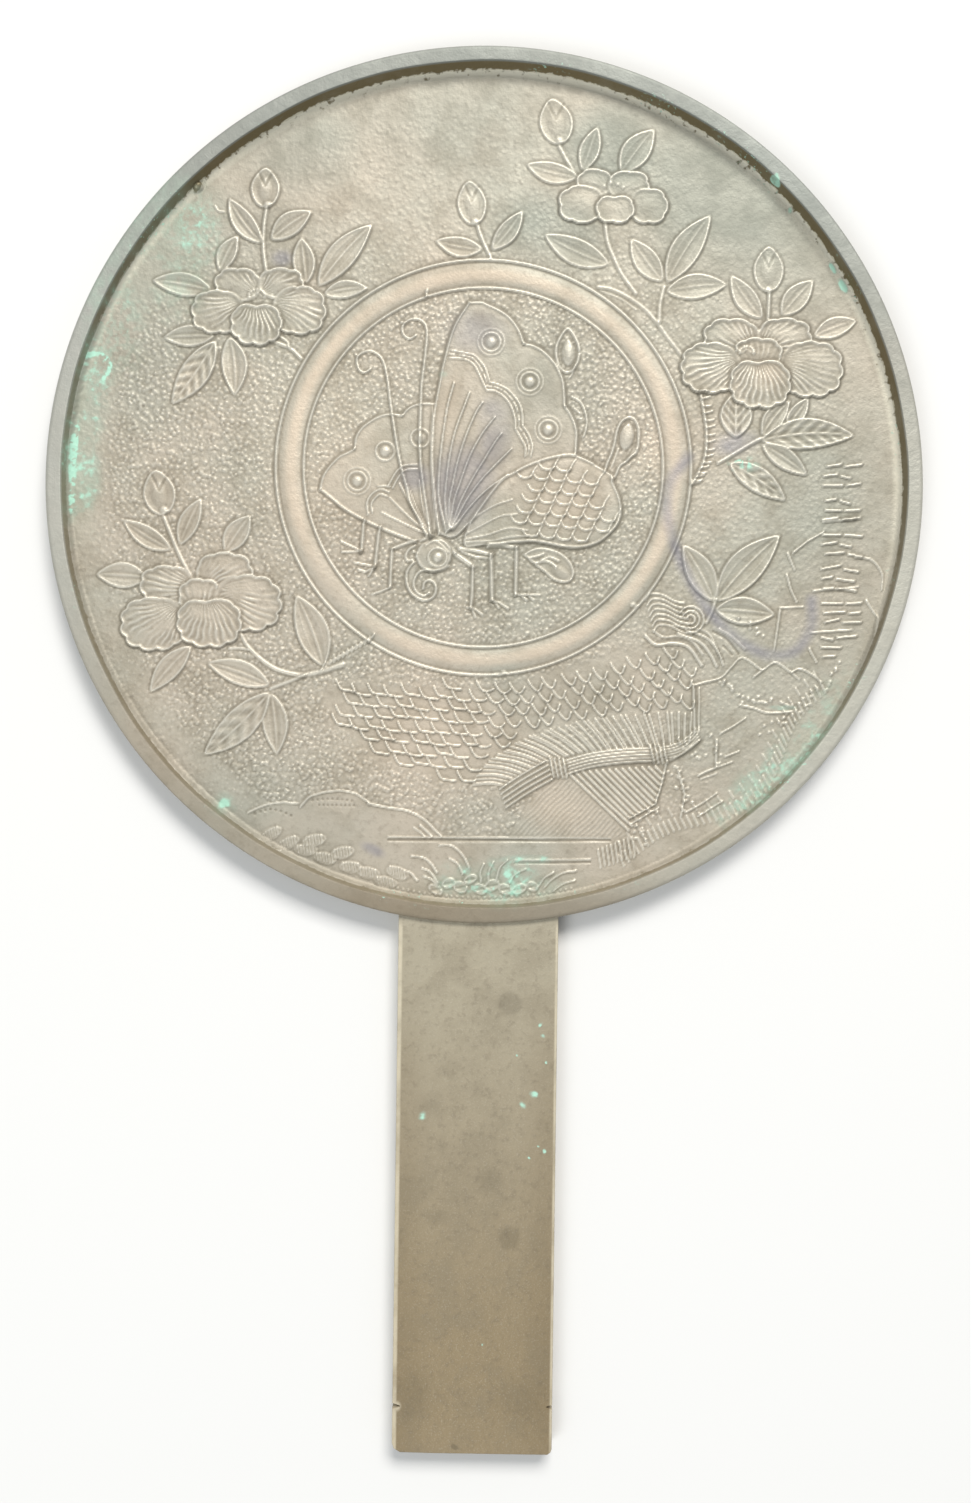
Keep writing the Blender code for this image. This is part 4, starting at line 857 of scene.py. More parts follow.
def dots(relief, spots, size, height):
    """Small round knobs, or pits where the height is below zero."""
    for x, y in spots:
        relief.knob((x, y), size, size, height)


def scatter(relief, x1, y1, x2, y2, spread, count, seed):
    """Dots strewn along a line, as moss is drawn."""
    for index in range(count):
        share = (index + draw(index, 1, seed)) / count
        x = x1 + (x2 - x1) * share + (draw(index, 2, seed) - 0.5) * 2 * spread
        y = y1 + (y2 - y1) * share + (draw(index, 3, seed) - 0.5) * 2 * spread
        relief.knob((x, y), 0.42, 0.42 * 0.85, 0.2)


def make_hills(relief):
    """The low hills at the foot: their ground, ridges and pits, and the straight lines below."""
    ground = outline([(-47.0, -60.6), (-42.0, -60.3), (-40.0, -59.2), (-38.0, -58.7), (-36.0, -58.5),
                      (-33.2, -58.9)],
                     [(-33.2, -58.9), (-31.5, -57.5), (-30.0, -56.9), (-28.0, -56.4), (-25.5, -56.2),
                      (-23.0, -56.7), (-21.5, -57.6), (-20.2, -58.5)],
                     [(-20.2, -58.5), (-17.0, -59.2), (-14.0, -59.6), (-12.0, -60.3), (-10.0, -61.5),
                      (-8.5, -63.0), (-7.0, -64.5)],
                     [(-7.0, -64.5), (24.0, -64.7), (27.0, -64.2), (31.0, -62.6)],
                     [(31.0, -62.6), (34.0, -69.0), (0.0, -77.0), (-34.0, -69.0)],
                     [(-34.0, -69.0), (-47.0, -60.6)])
    relief.plate(ground, 0.02, edge=0.5, crevice=0.0)
    for run in ([(-42.6, -60.4), (-40.0, -59.2), (-38.0, -58.7), (-36.0, -58.5), (-33.5, -58.7)],
                [(-33.0, -59.2), (-31.5, -57.5), (-30.0, -56.9), (-28.0, -56.4), (-25.5, -56.2),
                 (-23.0, -56.7), (-21.5, -57.6), (-20.2, -58.5)],
                [(-20.6, -58.5), (-17.0, -59.2), (-14.0, -59.6), (-12.0, -60.3), (-10.0, -61.5),
                 (-8.5, -63.0), (-7.0, -64.4)]):
        relief.stroke(run, 0.72, 0.24, (0.8, 0.6))
    relief.stroke([(-11.0, -62.4), (-9.6, -63.6), (-8.8, -64.5)], 0.5, 0.15)
    relief.stroke([(-12.2, -62.8), (-10.8, -63.8), (-10.0, -64.6)], 0.4, 0.12)
    for index in range(8):
        dots(relief, [(-41.4 + 0.95 * index, -60.6 + 0.8 * math.sin(0.5 * index))], 0.36, -0.13)
    for index in range(9):
        dots(relief, [(-30.8 + 0.9 * index, -58.0 + 0.25 * math.sin(0.4 * index)),
                      (-29.6 + 0.8 * index, -58.9)], 0.34, -0.12)
    relief.stroke([(-16.8, -65.1), (4.0, -65.0), (24.0, -64.7)], 0.5, -0.16, curved=False)
    relief.stroke([(-16.8, -64.6), (4.0, -64.5), (24.2, -64.2)], 0.42, 0.16, curved=False)
    relief.stroke([(6.6, -69.1), (20.4, -68.8)], 0.45, -0.14)
    relief.stroke([(6.6, -68.6), (20.4, -68.3)], 0.4, 0.12)


def make_grass(relief):
    """Grass blades, stones, a row of dots at the rim's foot, and combed tufts."""
    blades = [
        [(-12.5, -68.1), (-10.5, -68.3), (-9.0, -69.3), (-7.8, -71.0)],
        [(-10.5, -70.3), (-9.0, -71.0), (-7.6, -73.0)],
        [(-10.2, -71.8), (-8.8, -72.3), (-7.8, -73.4)],
        [(-7.4, -66.0), (-5.4, -66.0), (-3.8, -67.0), (-2.6, -68.5), (-1.8, -70.2)],
        [(-5.6, -68.4), (-4.0, -69.4), (-3.0, -71.2)],
        [(0.8, -69.4), (0.2, -71.0), (0.4, -72.6)],
        [(2.6, -69.0), (1.8, -70.8), (1.8, -72.8)],
        [(5.2, -68.6), (3.8, -70.0), (3.2, -72.2)],
        [(8.6, -70.2), (6.6, -71.2), (5.6, -72.8)],
        [(12.0, -73.6), (13.5, -72.0), (15.5, -70.8), (17.8, -70.4)],
        [(11.0, -73.4), (12.0, -71.8), (13.6, -70.8)],
        [(13.6, -74.2), (15.6, -72.8), (17.6, -72.2)],
        [(-14.2, -70.6), (-12.6, -71.2), (-11.4, -72.6)],
    ]
    for points in blades:
        relief.stroke(points, 0.55, 0.22, (0.7, 1.0))
    stones = [(-8.0, -74.2, 1.5, 0.9), (-5.6, -73.0, 1.3, 1.0), (-3.4, -73.7, 1.4, 1.1),
              (-1.6, -72.2, 1.3, 0.9), (0.2, -74.0, 1.4, 1.0), (2.4, -73.3, 1.5, 1.1),
              (4.8, -74.0, 1.4, 1.0), (7.4, -73.9, 1.5, 1.0), (9.8, -73.4, 1.2, 0.9)]
    for index, (x, y, half_x, half_y) in enumerate(stones):
        turn = 25.0 if index % 2 else -30.0
        relief.plate(egg((x, y), half_x, half_y, turn), 0.12, lip=0.12, lip_width=0.24)
        relief.stroke([(x - 0.6 * half_x, y - 0.2), (x + 0.6 * half_x, y + 0.2)], 0.35, -0.12)
    for index in range(34):
        x = -16.0 + index
        dots(relief, [(x, -math.sqrt(75.6 ** 2 - x * x))], 0.36, 0.13)
    combs = [(-35.2, -66.0, 25.0), (-32.0, -67.2, 0.0), (-28.4, -68.7, -10.0), (-25.2, -67.6, 10.0),
             (-23.6, -70.3, -5.0), (-20.4, -71.3, -10.0), (-17.2, -73.0, -10.0),
             (-30.4, -65.4, 10.0), (-15.0, -71.2, -20.0), (-38.4, -64.4, 30.0)]
    for x, y, turn in combs:
        angle = math.radians(turn)
        relief.plate(egg((x, y), 2.2, 1.15, turn), 0.05, lip=0.07, lip_width=0.22)
        for tooth in range(6):
            shift = -1.4 + 0.56 * tooth
            cx = x + shift * math.cos(angle)
            cy = y + shift * math.sin(angle)
            relief.stroke([(cx - 0.15, cy + 0.75), (cx + 0.1, cy - 0.6)], 0.4, 0.10)


def make_crest(relief):
    """The feathered crest that curls up behind the scales."""
    for index in range(7):
        y = -19.6 - 0.95 * index
        x = 30.6 + 0.25 * index
        barb = [(x - 0.6, y - 0.9), (x + 0.3, y + 0.3), (x + 2.4, y + 0.2), (x + 4.6, y - 0.9),
                (x + 6.4, y - 1.3)]
        relief.stroke(barb, 0.6, 0.22, (0.5, 0.9))
    for radius in (0.8, 1.6, 2.4):
        arc = [(38.3 + radius * math.cos(a), -23.9 + radius * math.sin(a))
               for a in np.linspace(2.6, -1.9, 9)]
        relief.stroke(arc, 0.5, 0.22)
    for points, width, height in (
            ([(30.0, -27.0), (32.0, -28.6), (35.0, -28.3), (38.0, -29.0), (40.5, -32.3)], 0.72, 0.28),
            ([(31.4, -26.0), (33.4, -27.2), (36.0, -27.0), (38.6, -27.9), (40.6, -30.2)], 0.5, 0.18),
            ([(36.0, -26.5), (40.0, -28.0), (42.0, -30.2), (43.2, -32.4)], 0.62, 0.26),
            ([(37.4, -25.8), (41.4, -27.3), (43.4, -29.8), (44.4, -32.2)], 0.5, 0.22),
            ([(35.0, -25.0), (38.0, -25.4), (41.6, -26.4), (44.0, -31.0)], 0.4, 0.14),
            ([(42.5, -26.0), (45.0, -27.4), (47.2, -30.0)], 0.6, -0.16),
            ([(43.6, -25.6), (46.0, -27.0), (48.4, -29.2)], 0.5, 0.2),
            ([(44.4, -28.6), (46.0, -30.2)], 0.5, -0.14)):
        relief.stroke(points, width, height)


def make_rocks(relief):
    """The simplified landscape at the lower right: rock lines, moss dots and grass by the rim."""
    lines = [
        [(39.0, -36.0), (41.0, -35.4), (44.0, -34.5), (46.0, -32.4), (48.0, -30.8), (51.5, -33.0)],
        [(50.0, -34.3), (52.0, -32.8), (54.0, -31.6), (56.4, -33.0), (58.5, -34.7)],
        [(57.0, -33.3), (58.5, -32.7), (60.6, -33.6), (62.6, -35.1)],
        [(56.0, -11.5), (57.3, -14.5)], [(57.0, -11.3), (59.6, -9.2), (62.5, -7.5)],
        [(55.9, -15.5), (56.6, -18.0), (57.8, -20.5)], [(54.7, -21.5), (59.0, -21.3)],
        [(54.7, -22.0), (54.2, -26.0), (53.7, -29.5)],
        [(68.5, -12.0), (71.5, -12.5), (73.4, -15.0), (73.4, -18.0)],
        [(60.8, -18.3), (69.0, -17.5)], [(60.5, -26.0), (68.0, -25.4)], [(62.5, -5.6), (68.5, -4.9)],
        [(47.5, -39.5), (50.0, -40.0), (53.0, -40.9), (57.2, -40.5)],
        [(43.4, -46.0), (43.3, -51.0)], [(44.0, -44.8), (46.4, -43.4), (48.6, -41.9)],
        [(38.0, -59.3), (40.6, -57.8), (43.5, -55.8)], [(45.0, -49.0), (47.5, -48.0)],
        [(34.0, -50.0), (36.0, -49.3), (39.0, -47.0), (40.2, -46.1)],
        [(36.5, -52.0), (37.6, -56.0), (37.0, -60.0)], [(40.2, -60.0), (44.6, -57.2)],
        [(60.2, -29.0), (61.6, -31.5)], [(70.6, -20.0), (72.6, -23.0), (72.0, -27.0)],
    ]
    for points in lines:
        relief.stroke(points, 0.62, 0.24, (0.9, 0.7), curved=len(points) > 3)
    relief.stroke([(40.2, -52.5), (42.0, -51.6), (46.2, -50.0)], 0.95, 0.3, (0.7, 0.4))
    relief.stroke([(40.6, -53.2), (43.4, -52.2)], 0.4, 0.16)
    for row in [(35.0, -50.5, 38.6, -58.5, 1.2, 22, 21), (42.4, -45.0, 44.2, -50.4, 0.7, 10, 22),
                (44.0, -34.6, 48.4, -38.4, 1.2, 14, 23), (49.0, -38.2, 57.4, -39.2, 0.6, 16, 24),
                (28.6, -60.4, 33.4, -58.6, 1.0, 12, 25), (52.0, -45.0, 60.6, -38.0, 1.2, 18, 26),
                (27.6, -61.8, 31.0, -65.0, 1.1, 10, 27), (36.0, -46.0, 41.0, -49.6, 0.8, 10, 28),
                (60.8, -38.2, 65.6, -31.2, 1.0, 12, 29), (47.0, -24.0, 52.6, -26.4, 0.9, 9, 30)]:
        scatter(relief, *row)
    for index in range(46):
        share = index / 45
        angle = math.radians(-69.0 + 39.0 * share)
        reach = 73.6 - 2.2 * math.sin(share * 9.0)
        x = reach * math.cos(angle)
        y = reach * math.sin(angle)
        relief.stroke([(x - 0.7, y + 1.3), (x + 0.35, y - 0.7)], 0.5, 0.13)
        if index % 2:
            relief.stroke([(x - 1.9, y + 3.1), (x - 1.1, y + 1.9)], 0.5, 0.12)
    for index in range(9):
        x = 22.6 + 0.78 * index
        relief.stroke([(x - 0.8, -66.4 + 0.3 * index), (x - 0.2, -69.8 + 0.28 * index)], 0.42, 0.14)


def make_column(relief):
    """A column of strokes at the right edge: short rows in six clumps, which spell nothing."""
    for row in range(18):
        clump = row // 3
        y = 4.6 - 6.3 * clump - 1.75 * (row % 3)
        x = 62.2 + 0.9 * draw(row, 1, 41)
        place = 0
        while x < 68.0 and math.hypot(x + 1.2, y) < 73.0:
            length = 1.5 + 2.4 * draw(row, place, 42)
            tilt = 1.3 * (draw(row, place, 43) - 0.4)
            relief.stroke([(x, y), (min(x + length, 69.6), y + tilt)], 0.62, 0.30, (0.8, 1.0))
            x += length + 0.8
            place += 1


def carve_field():
    """All motifs, each cut over the ones before it, and one lump of metal at the upper left."""
    relief = Relief()
    make_hills(relief)
    make_scales(relief)
    make_fan(relief)
    make_bundle(relief)
    make_ring(relief)
    make_small_wing(relief)
    make_great_wing(relief)
    make_abdomen(relief)
    make_limbs(relief)
    make_head(relief)
    make_ring_filling(relief)
    spray_upper_left(relief)
    spray_top(relief)
    spray_upper_right(relief)
    spray_right(relief)
    spray_lower_left(relief)
    sprig(relief)
    make_crest(relief)
    make_rocks(relief)
    make_column(relief)
    make_grass(relief)
    relief.knob((-53.3, 54.5), 1.15, 0.9, 1.1, 40.0, power=0.7)
    return relief


def grain_strength(x, y):
    """How strong the granules are: bold in the ring and below it, faint at the top right."""
    r = ring_distance(x, y)
    bold = np.full(x.shape, 0.62)
    bold = np.where(r < 33.0, 1.0, bold)
    bold = np.where((y < -30) & (x < 24), 1.0, bold)
    bold -= 0.34 * smoothstep((y - 30.0) / 26.0) * (r > 39.0)
    bold -= 0.30 * smoothstep((x - 26.0) / 26.0) * (r > 39.0)
    bold += 0.42 * smoothstep((-12.0 - x) / 20.0) * (r > 39.0) * smoothstep((40.0 - y) / 24.0)
    bold *= 1.0 - 0.7 * smoothstep((np.hypot(x, y) - 67.0) / 6.0)
    return np.clip(bold, 0.10, 1.15)


def finish_field(relief):
    """Adds the granular ground, the casting's unevenness and the fillet at the rim's foot."""
    x, y = relief.x, relief.y
    bare = 1.0 - np.clip(np.maximum(relief.cover, 1.5 * blurred(relief.cover, 2)), 0.0, 1.0)
    bold = grain_strength(x, y)
    pebbles = grains(x, y, GRAIN_PITCH, 1, 0.9)
    fine = grains(x + 0.4, y, FINE_GRAIN_PITCH, 5)
    relief.z += bare * bold * (GRAIN_HEIGHT * pebbles + FINE_GRAIN_HEIGHT * fine)
    relief.z += 0.018 * (fine - 0.4) * (1 - bare)
    relief.z += 0.10 * (cloud(x, y, 17.0, 7) - 0.5)
    r = np.hypot(x, y)
    north = smoothstep((0.97 * y + 0.26 * x + 20.0) / 60.0)
    relief.z += (1.2 - 0.95 * north) * np.clip((r - FILLET_START) / FILLET_WIDTH, 0.0, 1.0) ** 2
    return relief


def blurred(a, steps):
    """A map averaged with its neighbours, some steps over."""
    for _ in range(steps):
        a = (a + np.roll(a, 1, 0) + np.roll(a, -1, 0)) / 3
        a = (a + np.roll(a, 1, 1) + np.roll(a, -1, 1)) / 3
    return a


def blot(x, y, cx, cy, rx, ry, soft=0.5, turn=0.0):
    """A patch with a soft edge: 1 at its middle and 0 outside."""
    angle = math.radians(turn)
    u = ((x - cx) * math.cos(angle) + (y - cy) * math.sin(angle)) / rx
    v = (-(x - cx) * math.sin(angle) + (y - cy) * math.cos(angle)) / ry
    return smoothstep((1.0 - np.hypot(u, v)) / soft)


def patches(x, y, rows):
    """The shares of some soft patches; a row is a strength, a centre, half sizes, softness, turn."""
    return [strength * blot(x, y, *patch) for strength, *patch in rows]


def verdigris(x, y):
    """Green corrosion: a crusted strip and a curl at the left, patches at the foot, and spots."""
    r = np.hypot(x, y)
    rough = cloud(x, y, 3.2, 21)
    fine = cloud(x, y, 0.9, 22)
    speck = smoothstep((rough * 0.6 + fine * 0.4 - 0.42) / 0.2)
    dotted = 0.45 * cloud(x, y, 1.5, 23, 2) + 0.55 * cloud(x, y, 0.6, 24)
    dotted = smoothstep((dotted - 0.40) / 0.14)
    edge = smoothstep((r - 68.5) / 5.0) * smoothstep((77.6 - r) / 0.7)
    tinge = 0.26 + 0.5 * speck * fine
    broken = 0.4 + 0.6 * speck
    amount = sum(patches(x, y, [
        (edge * tinge, -74.0, 8.0, 12.0, 26.0, 0.8),
        (0.55 * tinge, -60.0, 44.0, 16.0, 20.0),
        (0.20, -73.0, 0.0, 3.6, 6.5, 0.7),
        (0.28 * dotted, -71.5, 20.0, 4.0, 9.0, 0.7, 12.0),
        (0.90 * (0.3 + 0.7 * speck * (0.4 + 0.6 * fine)), 3.0, -72.6, 17.0, 6.0, 0.8),
        (0.60 * broken, 9.0, -68.4, 5.5, 1.3),
        (0.58 * edge * (0.3 + 0.7 * speck), 56.0, -50.0, 12.0, 30.0, 0.8, -42.0),
        (0.9, -47.0, -58.8, 1.6, 1.3, 0.9),
        (0.45 * broken, -47.0, -58.8, 4.2, 3.4, 0.9),
        (1.0, 65.5, 37.9, 0.9, 2.0, 0.6, 30.0),
        (1.0, 63.6, 41.1, 0.6, 1.6, 0.6, 32.0),
        (0.8, 55.6, 51.6, 0.6, 0.9, 0.7),
        (0.34 * dotted, -54.0, 47.0, 8.0, 10.0, 0.9),
        (0.9 * dotted, 47.6, 4.8, 4.2, 2.2, 0.8),
        (0.35, -7.8, 20.6, 1.4, 1.0, 0.9),
        (0.75 * (0.5 + 0.5 * speck), 55.4, -39.9, 3.6, 0.7, 0.7),
        (0.36 * dotted, -69.0, 30.0, 8.0, 17.0, 0.9, 18.0),
    ]))
    strip = smoothstep((0.8 - np.abs(r - 75.8)) / 0.45)
    strip *= smoothstep((10.0 - np.abs(y - 2.5)) / 4.0) * (x < 0)
    amount += strip * (0.15 + 0.85 * dotted)
    curl = np.abs(np.hypot(x + 71.6, y - 21.2) - 2.4 - 0.5 * (rough - 0.5))
    curl = smoothstep((0.55 - curl) / 0.4) * smoothstep((x + y + 53.0) / 3.0)
    amount += 0.8 * curl * (0.3 + 0.7 * dotted)
    return np.clip(amount, 0.0, 1.0)


def stains(x, y):
    """Dark blue-grey stains: an arc that crosses the ring, clouds on the wings, and spots."""
    rough = 0.55 + 0.45 * cloud(x, y, 4.0, 31)
    arc = smooth([(37.5, 6.0), (34.6, 2.0), (33.6, -3.0), (34.8, -9.0), (37.0, -14.6), (41.5, -22.0),
                  (47.0, -27.4), (52.6, -30.2), (57.6, -29.4), (60.4, -25.0), (60.6, -20.0)])
    d, _, _ = nearest(x, y, arc)
    amount = np.maximum.reduce([0.55 * smoothstep((1.9 - d) / 1.9)] + patches(x, y, [
        (0.62, 46.0, 8.6, 6.0, 3.2, 0.9, 10.0),
        (0.50, -4.0, 0.0, 8.0, 11.0, 0.7, -12.0),
        (0.34, 1.8, 8.5, 4.6, 7.5, 0.8, -8.0),
        (0.45, -12.6, 1.5, 4.6, 3.6, 0.8),
        (0.35, 1.5, 13.5, 4.5, 4.5, 0.9),
        (0.45, -37.8, 41.6, 2.8, 2.2, 0.8),
        (0.55, -19.6, -67.0, 3.4, 1.5, 0.8, -25.0),
        (0.35, -2.0, 28.5, 8.5, 6.0, 0.9),
    ]))
    return np.clip(amount * rough * 1.25, 0.0, 1.0)


def warmth(x, y):
    """Where the metal is a warmer, lighter tan: the ring's crown and a few patches."""
    crown = smoothstep((1.7 - np.abs(ring_distance(x, y) - 35.4)) / 1.4)
    dull = 1.0 - 0.6 * blot(x, y, -26.0, -21.0, 16.0, 16.0, 0.9)
    amount = 0.8 * dull * crown * (0.55 + 0.45 * cloud(x, y, 9.0, 51))
    amount += sum(patches(x, y, [
        (0.35, 31.0, 7.0, 5.0, 8.0, 0.9),
        (0.35, -55.0, 19.0, 4.0, 6.5, 0.9, -25.0),
        (0.45, 52.0, 21.0, 4.5, 4.0, 0.9),
        (0.40, 15.0, -3.0, 11.0, 8.5, 0.9),
        (0.35, -30.0, 10.0, 20.0, 26.0, 0.9),
        (0.30, -7.0, 14.0, 4.0, 10.0, 0.9),
        (0.30, -12.0, -45.0, 26.0, 16.0, 0.9),
        (0.35, 15.0, -59.0, 10.0, 6.0, 0.9),
    ]))
    return np.clip(amount, 0.0, 1.0)


def film_and_top_shade(x, y):
    """The thin grey-green film of age, partly painted shade, thickest along the top and at the upper
    right.
    """
    uneven = 0.75 + 0.6 * (cloud(x, y, 15.0, 61) - 0.4)
    amount = np.maximum.reduce(patches(x, y, [
        (1.25, 46.0, 54.0, 44.0, 30.0, 0.9, -35.0),
        (0.52, 66.0, 2.0, 20.0, 60.0, 0.9),
        (0.50, -64.0, 40.0, 22.0, 36.0, 0.9, -15.0),
        (0.70, -45.0, 46.0, 22.0, 16.0, 0.9),
        (0.40, -38.0, -62.0, 40.0, 16.0, 0.9, -28.0),
        (0.12, 30.0, -60.0, 40.0, 14.0, 0.9, 25.0),
        (0.85, 4.0, 86.0, 80.0, 46.0, 0.9),
        (0.45, 14.0, 17.0, 20.0, 18.0, 0.9),
        (1.35, 23.0, 63.0, 20.0, 15.0, 0.9, -20.0),
        (0.85, -34.0, 62.0, 20.0, 14.0, 0.9, 25.0),
        (1.0, 12.0, 48.0, 18.0, 12.0, 0.9),
    ]))
    return np.clip(amount * uneven, 0.0, 1.0)


def set_attribute(mesh, name, values):
    """Stores one value for every point of a mesh."""
    layer = mesh.attributes.new(name, "FLOAT", "POINT")
    layer.data.foreach_set("value", np.ascontiguousarray(values, dtype=np.float32))


def paint(mesh, crest, hollow):
    """Stores the wear, patina, painted highlight and painted shade shares and the colour patches of
    every point of a mesh.
    """
    places = np.empty(len(mesh.vertices) * 3, np.float32)
    mesh.vertices.foreach_get("co", places)
    x, y = places[0::3] / MM, places[1::3] / MM
    for name, values in (("crest", crest), ("hollow", hollow), ("verdigris", verdigris(x, y)),
                         ("stain", stains(x, y)), ("warmth", warmth(x, y)), ("film_and_top_shade", film_and_top_shade(x, y))):
        set_attribute(mesh, name, values)


def make_patch(name, relief, normals, crest, hollow, chosen):
    """One patch of the field: the cells of the height map that are chosen."""
    rows = np.flatnonzero(chosen.any(axis=1))
    columns = np.flatnonzero(chosen.any(axis=0))
    top, left = rows[0], columns[0]
    count_y = rows[-1] - top + 1
    count_x = columns[-1] - left + 1
    bm = bmesh.new()
    bmesh.ops.create_grid(bm, x_segments=int(count_x), y_segments=int(count_y), size=1.0)
    verts = bm.verts[:]
    spot = np.array([(v.co.x, v.co.y) for v in verts])
    i = np.rint((spot[:, 0] + 1.0) / 2 * count_x).astype(int) + left
    j = np.rint((spot[:, 1] + 1.0) / 2 * count_y).astype(int) + top
    x = AXIS[i] * MM
    y = AXIS[j] * MM
    z = (FIELD_Z + relief.z[j, i]) * MM
    for vert, a, b, c in zip(verts, x, y, z):
        vert.co = (a, b, c)
    i_list = i.tolist()
    j_list = j.tolist()
    bm.verts.index_update()
    gone = []
    for face in bm.faces:
        corners = [vert.index for vert in face.verts]
        if not chosen[min(j_list[k] for k in corners), min(i_list[k] for k in corners)]:
            gone.append(face)
    bmesh.ops.delete(bm, geom=gone, context="FACES")
    mesh = bpy.data.meshes.new(name)
    bm.to_mesh(mesh)
    bm.free()
    keep = np.zeros(relief.x.shape, bool)
    for down in (0, 1):
        for across in (0, 1):
            keep[down:down + len(chosen), across:across + len(chosen)] |= chosen
    kept = keep[j, i]
    i, j = i[kept], j[kept]
    mesh.shade_smooth()
    mesh.normals_split_custom_set_from_vertices(normals[j, i])
    paint(mesh, crest[j, i], hollow[j, i])
    made = bpy.data.objects.new(name, mesh)
    bpy.context.scene.collection.objects.link(made)
    return made


def make_field(relief, bronze):
    """The five patches of the carved field."""
    z = relief.z
    slope_y, slope_x = np.gradient(z, SPACING)
    normals = np.dstack([-slope_x, -slope_y, np.ones(z.shape)])
    normals /= np.linalg.norm(normals, axis=2)[:, :, None]
    # crest and hollow: shares of wear and patina, which the material also uses for painted highlight
    # and painted shade.
    near = z - blurred(z, 3)
    far = z - blurred(z, 14)
    crest = smoothstep((near * 1.3 + far * 0.35) / 0.15) * (0.5 + 0.5 * relief.cover)
    hollow = smoothstep((-near * 0.9 - far * 0.35) / 0.12)
    hollow *= 1.0 - 0.8 * smoothstep((np.hypot(relief.x, relief.y) - 73.5) / 1.5)
    middle = AXIS[:-1] + SPACING / 2
    cx, cy = np.meshgrid(middle, middle)
    field = np.hypot(cx, cy) < FIELD_RADIUS + 0.45
    ring = ring_distance(cx, cy) < ROUNDEL_RADIUS
    sides = {
        "carved_roundel": field & ring,
        "carved_field_upper_left": field & ~ring & (cy >= RING_CENTRE[1]) & (cx < 0),
        "carved_field_upper_right": field & ~ring & (cy >= RING_CENTRE[1]) & (cx >= 0),
        "carved_field_lower_left": field & ~ring & (cy < RING_CENTRE[1]) & (cx < 0),
        "carved_field_lower_right": field & ~ring & (cy < RING_CENTRE[1]) & (cx >= 0),
    }
    made = []
    for name, chosen in sides.items():
        patch = make_patch(name, relief, normals, crest, hollow, chosen)
        patch.data.materials.append(bronze)
        made.append(patch)
    return made


def make_body(bronze):
    """The plate's edge, rim, wall and underside with the handle, closed under the carved field."""
    profile = [(0.0, 0.0), (79.3, 0.0), (79.74, 0.1), (79.99, 0.45), (79.99, 4.4), (79.89, 4.75),
               (79.62, 4.95), (79.2, 5.0), (78.4, 4.97), (77.5, 5.0), (77.28, 4.95), (77.14, 4.78),
               (77.04, 4.4), (76.8, 3.2), (76.7, 2.4), (76.5, 1.8), (75.6, 1.5), (0.0, 1.5)]
    bm = bmesh.new()
    verts = [bm.verts.new((r * MM, 0.0, z * MM)) for r, z in profile]
    edges = [bm.edges.new(pair) for pair in zip(verts, verts[1:])]
    bmesh.ops.spin(bm, geom=verts + edges, cent=(0, 0, 0), axis=(0, 0, 1), angle=2 * math.pi,
                   steps=360, use_merge=True)
    bmesh.ops.remove_doubles(bm, verts=bm.verts[:], dist=1e-6)
    for vert in bm.verts:
        r = math.hypot(vert.co.x, vert.co.y) / MM
        z = vert.co.z / MM
        angle = math.atan2(vert.co.y, vert.co.x)
        if 76.0 < r < 78.0 and z > 1.4:
            wave = 0.5 * math.sin(5 * angle + 0.6) + 0.3 * math.sin(13 * angle + 1.7)
            wave += 0.2 * math.sin(29 * angle)
            share = 1.0 + 0.14 * wave / r
            vert.co.x *= share
            vert.co.y *= share
        if z > 4.6:
            wave = math.sin(7 * angle + 2.0 + 0.4 * math.sin(23 * angle))
            vert.co.z -= 0.05 * MM * (0.5 + 0.5 * wave)
    bmesh.ops.recalc_face_normals(bm, faces=bm.faces[:])
    mesh = bpy.data.meshes.new("mirror_rim_and_handle")
    bm.to_mesh(mesh)
    bm.free()
    body = bpy.data.objects.new("mirror_rim_and_handle", mesh)
    bpy.context.scene.collection.objects.link(body)
    handle = make_handle()
    join = body.modifiers.new("join", "BOOLEAN")
    join.operation = "UNION"
    join.solver = "EXACT"
    join.object = handle
    bpy.context.view_layer.update()
    graph = bpy.context.evaluated_depsgraph_get()
    whole = bpy.data.meshes.new_from_object(body.evaluated_get(graph))
    body.modifiers.clear()
    body.data = whole
    bpy.data.objects.remove(handle, do_unlink=True)
    whole.materials.clear()
    whole.materials.append(bronze)
    whole.shade_smooth()
    whole.set_sharp_from_angle(angle=math.radians(32))
    even = body.modifiers.new("even_shading", "WEIGHTED_NORMAL")
    even.keep_sharp = True
    flat = np.zeros(len(whole.vertices))
    paint(whole, flat, flat)
    return body


